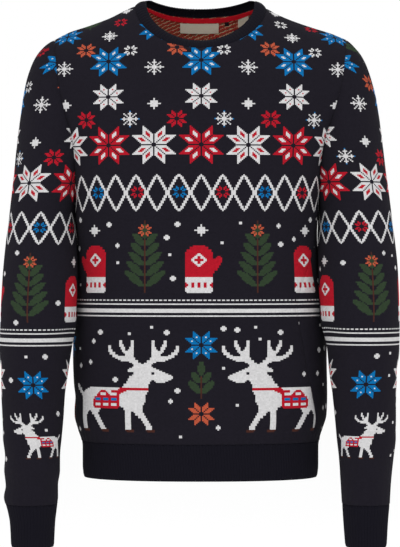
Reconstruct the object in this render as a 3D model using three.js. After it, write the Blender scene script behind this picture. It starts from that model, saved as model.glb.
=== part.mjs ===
// Christmas sweater, worn form with no wearer inside. Millimetres, +Z up, the front faces -Y.
// The origin lies between the two neck points of the shoulder seams, level with the right one.
import * as THREE from "three";

// Cloth walls and the gap kept at every seam
const KNIT_WALL = 2.4;
const RIB_WALL = 1.8;
const RIB_RISE = 0.8;
const TAPE_WALL = 1.0;
const SEAM_GAP = 0.3;

// Heights of the main lines
const NECK_X = 93;
const SHOULDER_X = 206;
const SHOULDER_Z = -44;
const UNDERARM_Z = -290;
const UNDERARM_Y = -22;
const HEM_RIB_Z = -611;
const HEM_END_Z = -662;
const CUFF_RIB_Z = -694;
const CUFF_END_Z = -753;

// Roundness of the body's sections: 2 is an ellipse
const BODY_ROUND = 2.3;

// The chest's crown above the shoulder points, and how each side rounds over it
const CROWN_RISE = 71;
const FRONT_CROWN = { depth: -122, fullness: 1.7, rounding: 0.6 };
const BACK_CROWN = { depth: 118, fullness: 2.6, rounding: 0.52 };

// Neckline: how far its lowest point lies below the origin, how late it starts to fall, and its lift
// beside the neck points
const FRONT_NECK = { drop: 63.5, late: 1, lift: 0 };
const BACK_NECK = { drop: 5.5, late: 2.2, lift: 19 };

// Neckband: its lean towards the neck and its rise, the height of its top edge at the shoulders, the share
// of the neckline's lift that its top edge follows, and its ribs
const BAND_LEAN = 16;
const BAND_RISE = { front: 12, back: 9.4 };
const BAND_TOP_Z = 10;
const BAND_LIFT = 0.3;
const BAND_BULGE = 2.2;
const BAND_FOOT_TILT = 0.35;
const BAND_RIBS = 110;
const HEM_RIB_PITCH = 4;
const CUFF_RIBS = 46;

// Back neck trims: place across, width, distance below the neckline seam, height, and whether the top edge
// is level or follows the seam
const TRIM_CLEAR = 1.1;
const TAPE = { x: 0, width: 168, top: 1.5, height: 8, square: false };
const LABEL = { x: -1.5, width: 57, top: 10.4, height: 16, square: true };
const SIZE_LABEL = { x: 63, width: 15, top: 10.4, height: 14, square: false };
const SIZE_TAB = { x: 39, width: 6, top: 10.4, height: 6, square: true };

// Body below the underarms: half widths to each side, front and back depth
const BODY = [
  { z: -662, left: 164.5, right: 164.5, front: -114, back: 108 },
  { z: -645, left: 166, right: 166, front: -116, back: 110 },
  { z: -620, left: 166, right: 166, front: -117, back: 111 },
  { z: -607, left: 168, right: 168, front: -118.5, back: 113 },
  { z: -594, left: 172, right: 172, front: -121, back: 115 },
  { z: -576, left: 177, right: 177, front: -122.5, back: 116 },
  { z: -553, left: 178, right: 178, front: -122, back: 115 },
  { z: -500, left: 179, right: 179, front: -120, back: 112 },
  { z: -465, left: 178.5, right: 178, front: -119.5, back: 110 },
  { z: -430, left: 176.5, right: 174.5, front: -119.5, back: 109 },
  { z: -390, left: 174.5, right: 169, front: -120, back: 110 },
  { z: -350, left: 173, right: 165.5, front: -121, back: 112 },
  { z: -320, left: 173, right: 164.5, front: -121.5, back: 115 },
  { z: -290, left: 176.5, right: 166.5, front: -122, back: 118 },
];

// How far each side seam is turned from the widest line towards the front
const SIDE_SEAM = [
  { z: -662, left: -38, right: 42 },
  { z: -600, left: -45, right: 48 },
  { z: -542, left: -55, right: 64 },
  { z: -500, left: -58, right: 74 },
  { z: -430, left: -50, right: 84 },
  { z: -370, left: -32, right: 56 },
  { z: -320, left: -10, right: 18 },
  { z: -290, left: 0, right: 0 },
];

// Shoulder seam, from the neck point out: height left of the crown's rise, at each share of the width
const SHOULDER_SLOPE = [
  { share: 0, left: 0, right: 0 },
  { share: 0.06, left: 0.007, right: 0.007 },
  { share: 0.15, left: 0.045, right: 0.045 },
  { share: 0.25, left: 0.115, right: 0.12 },
  { share: 0.35, left: 0.215, right: 0.235 },
  { share: 0.451, left: 0.336, right: 0.38 },
  { share: 0.534, left: 0.448, right: 0.51 },
  { share: 0.636, left: 0.597, right: 0.634 },
  { share: 0.777, left: 0.743, right: 0.775 },
  { share: 0.903, left: 0.858, right: 0.888 },
  { share: 1, left: 1, right: 1 },
];

// Armhole seam seen from the front
const ARMHOLE = [
  { z: -290, left: 176.5, right: 166.5 },
  { z: -243, left: 175, right: 167 },
  { z: -195, left: 178, right: 172.5 },
  { z: -149, left: 190, right: 187 },
  { z: -108, left: 199, right: 198 },
  { z: -80, left: 202.5, right: 202 },
  { z: -62, left: 204.5, right: 204.5 },
  { z: -44, left: 206, right: 206 },
];

// Sleeve sections: outer and inner edge, middle and half depth. Above the underarm the inner
// edge lies inside the armhole.
const CAP = [
  { z: -255, outerLeft: 265.5, outerRight: 265, innerLeft: 167, innerRight: 160.5, middle: -16, half: 64 },
  { z: -220, outerLeft: 262.3, outerRight: 260.8, innerLeft: 158.5, innerRight: 156, middle: -10.5, half: 63.5 },
  { z: -187, outerLeft: 258.5, outerRight: 256.5, innerLeft: 155.5, innerRight: 154, middle: -6, half: 62.5 },
  { z: -155, outerLeft: 254.4, outerRight: 252.4, innerLeft: 155, innerRight: 154, middle: -2.5, half: 60 },
  { z: -128, outerLeft: 252.2, outerRight: 249.6, innerLeft: 155, innerRight: 155, middle: 0, half: 56.5 },
  { z: -105, outerLeft: 248.5, outerRight: 244.5, innerLeft: 158, innerRight: 158, middle: 0, half: 51 },
  { z: -84, outerLeft: 241.8, outerRight: 237.5, innerLeft: 166, innerRight: 166, middle: 0, half: 43 },
  { z: -68, outerLeft: 233.4, outerRight: 229, innerLeft: 178, innerRight: 178, middle: 0, half: 33.5 },
  { z: -54, outerLeft: 220.8, outerRight: 217, innerLeft: 193, innerRight: 193, middle: 0, half: 20 },
  { z: -44, outerLeft: 206, outerRight: 206, innerLeft: 206, innerRight: 206, middle: 0, half: 0 },
];
const SLEEVE_LEFT = [
  { z: -753, outer: 261, inner: 201.9, middle: -90, half: 32 },
  { z: -720, outer: 263, inner: 200.4, middle: -88, half: 34 },
  { z: -703, outer: 266.3, inner: 198.5, middle: -87, half: 37 },
  { z: -685, outer: 271, inner: 196.6, middle: -86, half: 39.5 },
  { z: -670, outer: 268.5, inner: 196.6, middle: -85, half: 39 },
  { z: -648, outer: 270.4, inner: 193.8, middle: -84, half: 42 },
  { z: -630, outer: 269, inner: 193.9, middle: -83, half: 42.5 },
  { z: -604, outer: 272, inner: 191.8, middle: -81, half: 46 },
  { z: -577, outer: 273.5, inner: 189.6, middle: -79.5, half: 49 },
  { z: -545, outer: 275.8, inner: 187.5, middle: -78, half: 52 },
  { z: -512, outer: 276.6, inner: 182.8, middle: -76, half: 54.5 },
  { z: -480, outer: 278.3, inner: 178, middle: -74, half: 56.5 },
  { z: -436, outer: 278.6, inner: 171.5, middle: -70, half: 60 },
  { z: -414, outer: 277.6, inner: 171.5, middle: -66, half: 61 },
  { z: -372, outer: 274.6, inner: 173.8, middle: -56, half: 62.5 },
  { z: -330, outer: 271.7, inner: 175.3, middle: -39, half: 63.5 },
  { z: -305, outer: 269.2, inner: 176.6, middle: -28, half: 64 },
  { z: -290, outer: 268.2, inner: 176.5, middle: -22, half: 64 },
];
const SLEEVE_RIGHT = [
  { z: -753, outer: 256.6, inner: 199.5, middle: -90, half: 32 },
  { z: -720, outer: 258.6, inner: 197, middle: -88, half: 34.5 },
  { z: -690, outer: 261.2, inner: 195.2, middle: -86, half: 38 },
  { z: -668, outer: 262.4, inner: 193.5, middle: -85, half: 40.5 },
  { z: -631, outer: 265.8, inner: 191, middle: -83, half: 44 },
  { z: -604, outer: 269, inner: 188.2, middle: -81, half: 46.5 },
  { z: -577, outer: 270, inner: 186, middle: -79.5, half: 49 },
  { z: -545, outer: 271, inner: 182.6, middle: -78, half: 52 },
  { z: -512, outer: 272.6, inner: 177.9, middle: -76, half: 54.5 },
  { z: -480, outer: 275.3, inner: 175.1, middle: -74, half: 56.5 },
  { z: -436, outer: 277.2, inner: 165.6, middle: -70, half: 60 },
  { z: -414, outer: 276.7, inner: 165, middle: -66, half: 61 },
  { z: -372, outer: 274.6, inner: 164, middle: -56, half: 62.5 },
  { z: -330, outer: 271.7, inner: 165.8, middle: -39, half: 63.5 },
  { z: -305, outer: 269.2, inner: 166.8, middle: -28, half: 64 },
  { z: -290, outer: 268.2, inner: 166.5, middle: -22, half: 64 },
];

// Soft folds: where each crosses the cloth (turn in degrees from the centre front), how it leans
// (degrees from level), and its half length, half width and depth
const BODY_FOLDS = [
  { turn: -62, z: -352, lean: 62, length: 85, width: 15, depth: 3.0 },
  { turn: 64, z: -360, lean: 118, length: 80, width: 14, depth: 2.6 },
  { turn: -24, z: -585, lean: 4, length: 60, width: 9, depth: 1.6 },
  { turn: 33, z: -590, lean: 176, length: 55, width: 8, depth: 1.8 },
  { turn: 128, z: -400, lean: 58, length: 90, width: 16, depth: 3.2 },
  { turn: -135, z: -430, lean: 120, length: 95, width: 17, depth: 3.4 },
  { turn: 176, z: -520, lean: 6, length: 110, width: 20, depth: 3.6 },
  { turn: -166, z: -578, lean: 174, length: 80, width: 12, depth: 2.4 },
  { turn: 92, z: -560, lean: 12, length: 50, width: 12, depth: 2.2 },
  { turn: -92, z: -545, lean: 168, length: 55, width: 12, depth: 2.0 },
];
const SLEEVE_FOLDS = [
  { turn: -150, z: -352, lean: 40, length: 55, width: 11, depth: 3.0 },
  { turn: 170, z: -455, lean: 12, length: 60, width: 10, depth: 3.4 },
  { turn: 150, z: -490, lean: -14, length: 52, width: 9, depth: 3.0 },
  { turn: -30, z: -520, lean: 18, length: 45, width: 10, depth: 1.8 },
  { turn: 60, z: -600, lean: -10, length: 40, width: 9, depth: 1.8 },
  { turn: -100, z: -640, lean: 8, length: 38, width: 8, depth: 1.8 },
];

// The radius that turns a fold's angle into millimetres, and how fast folds fade in below the underarm
const BODY_FOLD_RADIUS = 150;
const SLEEVE_FOLD_RADIUS = 50;
const FOLD_FADE = 30;

// How far above the underarm the two walls at an armhole part, and how strongly
const PARTING_REACH = 70;
const PARTING = 3;

// Mesh steps; a spacing above 1 sets the upper rows closer together near their end
const LOWER_LEVELS = [-611, -599, -584, -562, -535, -505, -470, -430, -390, -352, -318];
const HALF_COLUMNS = 9;
const CROWN_STEPS = 14;
const NECK_STEPS = 6;
const SLEEVE_LEVELS = [-694, -678, -662, -646, -630, -606, -578, -548, -514, -480, -446, -412, -376, -342, -312];
const SLEEVE_COLUMNS = 24;
const CROWN_END_SPACING = 1.3;
const CROWN_START_SPACING = 1.6;
const FINE = 160;

const vec = (x, y, z) => new THREE.Vector3(x, y, z);
const lerp = THREE.MathUtils.lerp;
const radians = THREE.MathUtils.degToRad;

// A smooth curve without overshoot through one column of a table whose key rises
function column(table, key, name) {
  const slopes = table.slice(1).map((row, i) => (row[name] - table[i][name]) / (row[key] - table[i][key]));
  const tangents = table.map((row, i) => {
    const before = slopes[Math.max(i - 1, 0)];
    const after = slopes[Math.min(i, slopes.length - 1)];
    return before * after <= 0 ? 0 : (2 * before * after) / (before + after);
  });
  return (at) => {
    const spot = THREE.MathUtils.clamp(at, table[0][key], table.at(-1)[key]);
    const next = table.findIndex((row) => row[key] >= spot);
    const i = Math.max(next - 1, 0);
    const span = table[i + 1][key] - table[i][key];
    const t = (spot - table[i][key]) / span;
    const rise = t * t * (3 - 2 * t);
    return (
      lerp(table[i][name], table[i + 1][name], rise) +
      span * (t * (1 - t) * (1 - t) * tangents[i] - t * t * (1 - t) * tangents[i + 1])
    );
  };
}

const columns = (table, key, names) =>
  Object.fromEntries(names.map((name) => [name, column(table, key, name)]));

const body = columns(BODY, "z", ["left", "right", "front", "back"]);
const seam = columns(SIDE_SEAM, "z", ["left", "right"]);
const armhole = columns(ARMHOLE, "z", ["left", "right"]);
const slope = columns(SHOULDER_SLOPE, "share", ["left", "right"]);

// A whole sleeve's table: its own rows below the underarm, and the shared cap above it
function sleeveTable(rows, capOuter, capInner) {
  const cap = CAP.map((row) => ({ ...row, outer: row[capOuter], inner: row[capInner] }));
  return columns([...rows, ...cap], "z", ["outer", "inner", "middle", "half"]);
}
const sleeves = {
  left: sleeveTable(SLEEVE_LEFT, "outerLeft", "innerLeft"),
  right: sleeveTable(SLEEVE_RIGHT, "outerRight", "innerRight"),
};

// How deep the soft folds press the cloth in at one place; turn in degrees, radius turns it to mm
function foldDepth(folds, turn, z, radius) {
  let total = 0;
  for (const fold of folds) {
    const away = THREE.MathUtils.euclideanModulo(turn - fold.turn + 180, 360) - 180;
    const across = radians(away) * radius;
    const up = z - fold.z;
    const lean = radians(fold.lean);
    const along = across * Math.cos(lean) + up * Math.sin(lean);
    const off = up * Math.cos(lean) - across * Math.sin(lean);
    total += fold.depth * Math.exp(-((along / fold.length) ** 2) - (off / fold.width) ** 2);
  }
  return total;
}

// The body's section at a height, below the underarms. A turn of 0 is the centre front and 90 the right side.
function bodyPoint(z, turn) {
  const across = Math.sin(radians(turn));
  const ahead = Math.cos(radians(turn));
  const width = across < 0 ? body.left(z) : body.right(z);
  const deep = (ahead < 0 ? body.back(z) : body.front(z)) - UNDERARM_Y;
  const fold = foldDepth(BODY_FOLDS, turn, z, BODY_FOLD_RADIUS);
  return vec(
    (width - fold) * Math.sign(across) * Math.abs(across) ** (2 / BODY_ROUND),
    UNDERARM_Y + (deep - Math.sign(deep) * fold) * Math.abs(ahead) ** (2 / BODY_ROUND),
    z,
  );
}

// Walks a path in fine steps, and gives the point at a distance along it
class Walk {
  constructor(path, from, to, steps = FINE) {
    this.points = Array.from({ length: steps + 1 }, (_, i) => path(lerp(from, to, i / steps)));
    this.run = [0];
    this.points.slice(1).forEach((p, i) => this.run.push(this.run[i] + p.distanceTo(this.points[i])));
    this.length = this.run.at(-1);
  }
  at(distance) {
    const goal = THREE.MathUtils.clamp(distance, 0, this.length);
    const i = Math.max(this.run.findIndex((d) => d >= goal) - 1, 0);
    const share = (goal - this.run[i]) / Math.max(this.run[i + 1] - this.run[i], 1e-9);
    return this.points[i].clone().lerp(this.points[i + 1], share);
  }
  evenly(count) {
    return Array.from({ length: count + 1 }, (_, i) => this.at((this.length * i) / count));
  }
}

// The ring at one height: a walk right round from the centre back by the left side, with the distances
// of the centre front and of both side seams
function bodyRing(z) {
  const walk = new Walk((turn) => bodyPoint(z, turn), -180, 180, 4 * FINE);
  const quarter = walk.run[FINE];
  const front = walk.run[2 * FINE];
  const threeQuarters = walk.run[3 * FINE];
  return {
    walk,
    front,
    left: quarter + seam.left(z),
    right: threeQuarters - seam.right(z),
    at: (distance) => walk.at(THREE.MathUtils.euclideanModulo(distance, walk.length)),
  };
}

// The level outward normal of a ring at a distance
function ringNormal(ring, distance) {
  const along = ring.at(distance + 1).sub(ring.at(distance - 1));
  return along.cross(vec(0, 0, 1)).normalize();
}

// A row of a lower panel, from its left end to its right end as seen from outside the front
function lowerRow(panel, z, halfColumns) {
  const ring = bodyRing(z);
  const gap = SEAM_GAP / 2;
  const isFront = panel === "front";
  const start = isFront ? ring.left + gap : ring.right + gap;
  const middle = isFront ? ring.front : ring.walk.length;
  const end = isFront ? ring.right - gap : ring.walk.length + ring.left - gap;
  const stops = [];
  for (let i = 0; i <= halfColumns; i++) stops.push(lerp(start, middle, i / halfColumns));
  for (let i = 1; i <= halfColumns; i++) stops.push(lerp(middle, end, i / halfColumns));
  const points = stops.map((stop) => ({ at: ring.at(stop) }));
  points[0].normal = ringNormal(ring, start);
  points.at(-1).normal = ringNormal(ring, end);
  return points;
}

// Half a sleeve section's opening angle at the armhole: 180 degrees is closed
function armholeTurn(side, z) {
  const part = sleeves[side];
  const outer = part.outer(z);
  const radius = (outer - part.inner(z)) / 2;
  if (radius < 1e-6) return Math.PI / 2;
  const share = (armhole[side](z) - (outer - radius)) / radius;
  return Math.acos(THREE.MathUtils.clamp(share, -1, 1));
}

// A point on a sleeve's section; an angle of 0 faces outwards and 90 degrees faces forwards
function sleevePoint(side, z, angle) {
  const part = sleeves[side];
  const outer = part.outer(z);
  const radius = (outer - part.inner(z)) / 2;
  const turn = THREE.MathUtils.radToDeg(angle);
  const fade = THREE.MathUtils.smoothstep(-z, -UNDERARM_Z, -UNDERARM_Z + FOLD_FADE);
  const fold = fade * foldDepth(SLEEVE_FOLDS, turn, z, SLEEVE_FOLD_RADIUS);
  const x = outer - radius + (radius - fold) * Math.cos(angle);
  const y = part.middle(z) - (part.half(z) - fold) * Math.sin(angle);
  return vec(side === "left" ? -x : x, y, z);
}

// The armhole seam's point on the front or back, at a crown level from 0 at the underarm to 1
function armholePoint(panel, side, level) {
  const z = lerp(UNDERARM_Z, SHOULDER_Z, level);
  const angle = armholeTurn(side, z) * (panel === "front" ? 1 : -1);
  return sleevePoint(side, z, angle);
}

// Both walls at the armhole seam are cut towards the middle of its loop. Near the underarm they part:
// the body's wall turns inwards and the sleeve's outwards.
function armholeNormal(point, parting) {
  const middle = (UNDERARM_Z + SHOULDER_Z) / 2;
  const normal = vec(0, point.y, point.z - middle).normalize();
  const low = THREE.MathUtils.smoothstep(point.z, UNDERARM_Z, UNDERARM_Z + PARTING_REACH);
  normal.x = Math.sign(point.x) * parting * PARTING * (1 - low) ** 2;
  return normal.normalize();
}

// The crown's height and depth on the centre line at a level
function crownLine(panel, level) {
  const z = lerp(UNDERARM_Z, SHOULDER_Z, level) + CROWN_RISE * level ** 2;
  const { depth, fullness, rounding } = panel === "front" ? FRONT_CROWN : BACK_CROWN;
  const climb = (z - UNDERARM_Z) / (SHOULDER_Z + CROWN_RISE - UNDERARM_Z);
  return { z, y: depth * Math.max(1 - climb ** fullness, 0) ** rounding };
}

// A point of the upper body: share runs from the centre line, 0, to the armhole, 1
function crownPoint(panel, side, share, level) {
  const edge = armholePoint(panel, side, level);
  const line = crownLine(panel, level);
  const x = edge.x * share;
  const z = line.z - CROWN_RISE * level ** 2 * slope[side](share);
  if (level >= 1) return vec(x, 0, z);
  const base = UNDERARM_Y * (1 - level);
  const ratio = THREE.MathUtils.clamp((edge.y - base) / (line.y - base), 0, 0.98);
  const reach = (1 - ratio ** BODY_ROUND) ** (1 / BODY_ROUND);
  const y = base + (line.y - base) * Math.max(1 - (share * reach) ** BODY_ROUND, 0) ** (1 / BODY_ROUND);
  return vec(x, y, z);
}

// The height of a shoulder seam's neck point
function neckPointZ(side) {
  return SHOULDER_Z + CROWN_RISE * (1 - slope[side](NECK_X / SHOULDER_X));
}

// How far the neckline is lifted at a share of the way out to the neck point
function neckLift(panel, out) {
  const { lift } = panel === "front" ? FRONT_NECK : BACK_NECK;
  return lift * out ** 4 * Math.sqrt(Math.max(1 - out ** 2, 0));
}

// The neckline at a turn from the centre, 0, to the neck point, 90 degrees in radians: its share of the
// width, and the crown level where the surface has the neckline's height
function necklineAt(panel, side, turn) {
  const { drop, late } = panel === "front" ? FRONT_NECK : BACK_NECK;
  const share = (NECK_X / SHOULDER_X) * Math.sin(turn);
  const fall = lerp(neckPointZ(side), -drop, Math.max(Math.cos(turn), 0) ** late);
  const z = fall + neckLift(panel, Math.sin(turn));
  const rise = CROWN_RISE * (1 - slope[side](share));
  const climb = SHOULDER_Z - UNDERARM_Z;
  const level = (Math.sqrt(climb ** 2 + 4 * rise * (z - UNDERARM_Z)) - climb) / (2 * rise);
  return { share, level: Math.min(level, 1) };
}

// Where an upper row starts (at the centre line or on the neckline) and ends (at the armhole)
function crownRow(panel, side, step) {
  const straight = CROWN_STEPS - NECK_STEPS;
  const end = 1 - (1 - step / CROWN_STEPS) ** CROWN_END_SPACING;
  if (step <= straight) {
    const climb = 1 - (1 - step / straight) ** CROWN_START_SPACING;
    return { share: 0, start: necklineAt(panel, side, 0).level * climb, end, open: false };
  }
  const turn = step < CROWN_STEPS ? ((step - straight) / NECK_STEPS) * (Math.PI / 2) : Math.PI / 2;
  const { share, level } = necklineAt(panel, side, turn);
  return { share, start: step < CROWN_STEPS ? level : 1, end, open: true };
}

// Half a row of the upper body, from its start to the armhole
function crownHalf(panel, side, step) {
  const row = crownRow(panel, side, step);
  const path = (t) => crownPoint(panel, side, lerp(row.share, 1, t), lerp(row.start, row.end, t));
  const points = new Walk(path, 0, 1).evenly(HALF_COLUMNS).map((at) => ({ at }));
  const last = points.at(-1);
  last.normal = armholeNormal(last.at, 1);
  last.at.x -= Math.sign(last.at.x) * (SEAM_GAP / 2);
  if (step < CROWN_STEPS) return points;
  points.forEach((point, i) => {
    const along = points[Math.min(i + 1, HALF_COLUMNS)].at.clone().sub(points[Math.max(i - 1, 0)].at);
    point.normal ??= vec(-along.z, 0, along.x).multiplyScalar(Math.sign(along.x)).normalize();
    point.at.y = (panel === "front" ? -1 : 1) * (SEAM_GAP / 2);
  });
  last.normal.setY(0).normalize();
  return points;
}

// The neckline seam of one panel, from its left neck point to its right one
function neckSeam(panel) {
  const half = (side) => {
    const points = [];
    for (let step = CROWN_STEPS - NECK_STEPS; step <= CROWN_STEPS; step++) {
      const row = crownRow(panel, side, step);
      points.push(crownPoint(panel, side, row.share, row.start));
    }
    return points;
  };
  return [...half("left").slice(1).reverse(), ...half("right")];
}

// The whole neckline, round from the left neck point by the front and back again by the back. Each stop
// has the seam's direction, the wall's normal, and where the band's top edge lies.
const neckline = makeNeckline();
function makeNeckline() {
  const front = neckSeam("front");
  const back = neckSeam("back").reverse();
  const loop = [...front.slice(0, -1), ...back.slice(0, -1)];
  return loop.map((at, i) => {
    const before = loop.at(i - 1);
    const after = loop[(i + 1) % loop.length];
    const along = after.clone().sub(before).normalize();
    const atNeckPoint = Math.abs(at.y) < 1e-6;
    if (atNeckPoint) along.set(0, Math.sign(at.x), 0);
    const inward = vec(-at.x, -at.y, 0).normalize();
    const sideShare = Math.abs(inward.x) ** 2;
    const rise = at.y < 0 ? BAND_RISE.front : BAND_RISE.back;
    const shoulderRise = BAND_TOP_Z - neckPointZ(at.x < 0 ? "left" : "right");
    const top = at.clone().addScaledVector(inward, BAND_LEAN);
    const lift = neckLift(at.y < 0 ? "front" : "back", Math.abs(at.x) / NECK_X);
    top.z += lerp(rise, shoulderRise, sideShare) - (1 - BAND_LIFT) * lift;
    const up = top.clone().sub(at);
    const bandNormal = along.clone().cross(up).normalize();
    const normal = bandNormal.clone().add(vec(0, 0, BAND_FOOT_TILT)).normalize();
    if (atNeckPoint) normal.setY(0).normalize();
    const across = normal.clone().cross(along).normalize();
    return { at, top, normal, bandNormal, across };
  });
}

// Finds the neckline stop at a point, for the panels' own edges
function neckStop(point) {
  return neckline.reduce((best, stop) => (stop.at.distanceTo(point) < best.at.distanceTo(point) ? stop : best));
}

// Collects outer points and faces, then closes them with an inner skin and rims
class Wall {
  constructor(thickness) {
    this.thickness = thickness;
    this.points = [];
    this.normals = [];
    this.faces = [];
  }
  add({ at, normal }) {
    this.points.push(at.clone());
    this.normals.push(normal ? normal.clone() : null);
    return this.points.length - 1;
  }
  face(...corners) {
    for (let i = 2; i < corners.length; i++) this.faces.push([corners[0], corners[i - 1], corners[i]]);
  }
  // Two rows of equal length, the second above the first as seen from outside
  strip(low, high) {
    for (let i = 1; i < low.length; i++) {
      if (high[i - 1] === high[i]) this.face(low[i - 1], low[i], high[i]);
      else this.face(low[i - 1], low[i], high[i], high[i - 1]);
    }
  }
  innerPoints() {
    const sums = this.points.map(() => vec(0, 0, 0));
    for (const [a, b, c] of this.faces) {
      const side = this.points[b].clone().sub(this.points[a]);
      const normal = side.cross(this.points[c].clone().sub(this.points[a]));
      [a, b, c].forEach((corner) => sums[corner].add(normal));
    }
    return this.points.map((point, i) => {
      const normal = this.normals[i] ?? sums[i].normalize();
      return point.clone().addScaledVector(normal, -this.thickness);
    });
  }
  geometry() {
    const count = this.points.length;
    const edges = new Set();
    this.faces.forEach((f) => f.forEach((a, i) => edges.add(`${a},${f[(i + 1) % 3]}`)));
    const triangles = [...this.faces];
    this.faces.forEach(([a, b, c]) => triangles.push([a + count, c + count, b + count]));
    for (const edge of edges) {
      const [a, b] = edge.split(",").map(Number);
      if (edges.has(`${b},${a}`)) continue;
      if (this.points[a].z < this.points[b].z) triangles.push([b, a, a + count], [b, a + count, b + count]);
      else triangles.push([b, a, b + count], [a, a + count, b + count]);
    }
    return solid([...this.points, ...this.innerPoints()], triangles);
  }
}

function solid(points, triangles) {
  const geometry = new THREE.BufferGeometry().setFromPoints(points);
  geometry.setIndex(triangles.flat());
  geometry.computeVertexNormals();
  return geometry;
}

// Front or back panel: lower rows from seam to seam, upper rows split by the neckline
function panelGeometry(panel) {
  const wall = new Wall(KNIT_WALL);
  const flip = panel === "back";
  let row = null;
  LOWER_LEVELS.forEach((z, i) => {
    const points = lowerRow(panel, z, HALF_COLUMNS);
    if (i === 0) {
      const ring = bodyRing(z);
      points.forEach((point) => {
        point.at.z += SEAM_GAP / 2;
        point.normal ??= nearestRingNormal(ring, point.at);
      });
    }
    const next = points.map((point) => wall.add(point));
    if (row) wall.strip(row, next);
    row = next;
  });
  let halves = null;
  for (let step = 0; step <= CROWN_STEPS; step++) {
    const { open } = crownRow(panel, "right", step);
    const left = crownHalf(panel, "left", step);
    const right = crownHalf(panel, "right", step);
    if (step === 0) {
      const nudge = (flip ? 1 : -1) * (SEAM_GAP / 2);
      left.at(-1).at.y += nudge;
      right.at(-1).at.y += nudge;
    }
    if (open || step === CROWN_STEPS - NECK_STEPS) {
      [left[0], right[0]].forEach((point) => {
        const stop = neckStop(point.at);
        point.normal = stop.normal;
        point.at = point.at.clone().addScaledVector(stop.across, -SEAM_GAP / 2);
      });
    }
    const leftIds = left.map((point) => wall.add(point));
    const rightIds = right.map((point, i) => (i === 0 && !open ? leftIds[0] : wall.add(point)));
    const [first, second] = flip ? [rightIds, leftIds] : [leftIds, rightIds];
    const inward = [...first].reverse();
    if (!halves) wall.strip(row, [...inward, ...second.slice(1)]);
    else {
      wall.strip(halves.inward, inward);
      wall.strip(halves.second, second);
    }
    halves = { inward, second };
  }
  return wall.geometry();
}

// The level normal of a ring at the place nearest a point of it
function nearestRingNormal(ring, point) {
  const points = ring.walk.points;
  let best = 0;
  points.forEach((p, i) => {
    if (Math.hypot(p.x - point.x, p.y - point.y) < Math.hypot(points[best].x - point.x, points[best].y - point.y))
      best = i;
  });
  return ringNormal(ring, ring.walk.run[best]);
}

// Set-in sleeve: closed rings up to the underarm, then rows that end on the armhole seam
function sleeveGeometry(side) {
  const wall = new Wall(KNIT_WALL);
  const direction = side === "left" ? 1 : -1;
  const outward = side === "left" ? -1 : 1;
  const section = (z, widest) =>
    new Walk((angle) => sleevePoint(side, z, angle * direction), -widest, widest).evenly(SLEEVE_COLUMNS);
  let row = null;
  SLEEVE_LEVELS.forEach((z, level) => {
    const points = section(z, Math.PI).slice(0, -1);
    const ids = points.map((at, i) => {
      const along = points[(i + 1) % SLEEVE_COLUMNS].clone().sub(points.at(i - 1));
      const normal = level === 0 ? along.cross(vec(0, 0, 1)).normalize() : null;
      return wall.add({ at: level === 0 ? at.clone().setZ(z + SEAM_GAP / 2) : at, normal });
    });
    const next = [...ids, ids[0]];
    if (row) wall.strip(row, next);
    row = next;
  });
  for (let step = 0; step <= CROWN_STEPS; step++) {
    const level = crownRow("front", side, step).end;
    const z = lerp(UNDERARM_Z, SHOULDER_Z, level);
    const points = section(z, step === 0 ? Math.PI : armholeTurn(side, z)).map((at) => ({ at }));
    [points[0], points.at(-1)].forEach((point) => {
      point.normal = armholeNormal(point.at, -1);
      point.at.x += outward * (SEAM_GAP / 2);
    });
    if (step === CROWN_STEPS) points[0].normal.setY(0).normalize();
    let ids;
    if (step === CROWN_STEPS) {
      const top = wall.add(points[0]);
      ids = points.map(() => top);
    } else {
      ids = points.map((point, i) => (step === 0 && i === SLEEVE_COLUMNS ? null : wall.add(point)));
      if (step === 0) ids[SLEEVE_COLUMNS] = ids[0];
    }
    wall.strip(row, ids);
    row = ids;
  }
  return wall.geometry();
}

// Two runs of points along one edge, of any two lengths, joined by triangles
function zip(triangles, near, nearCount, far, farCount, flip) {
  let i = 0;
  let j = 0;
  while (i < nearCount || j < farCount) {
    const stepNear = j >= farCount || (i < nearCount && (i + 1) / nearCount <= (j + 1) / farCount);
    const triangle = stepNear ? [near(i), near(i + 1), far(j)] : [near(i), far(j + 1), far(j)];
    triangles.push(flip ? triangle.reverse() : triangle);
    if (stepNear) i += 1;
    else j += 1;
  }
}

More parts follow.
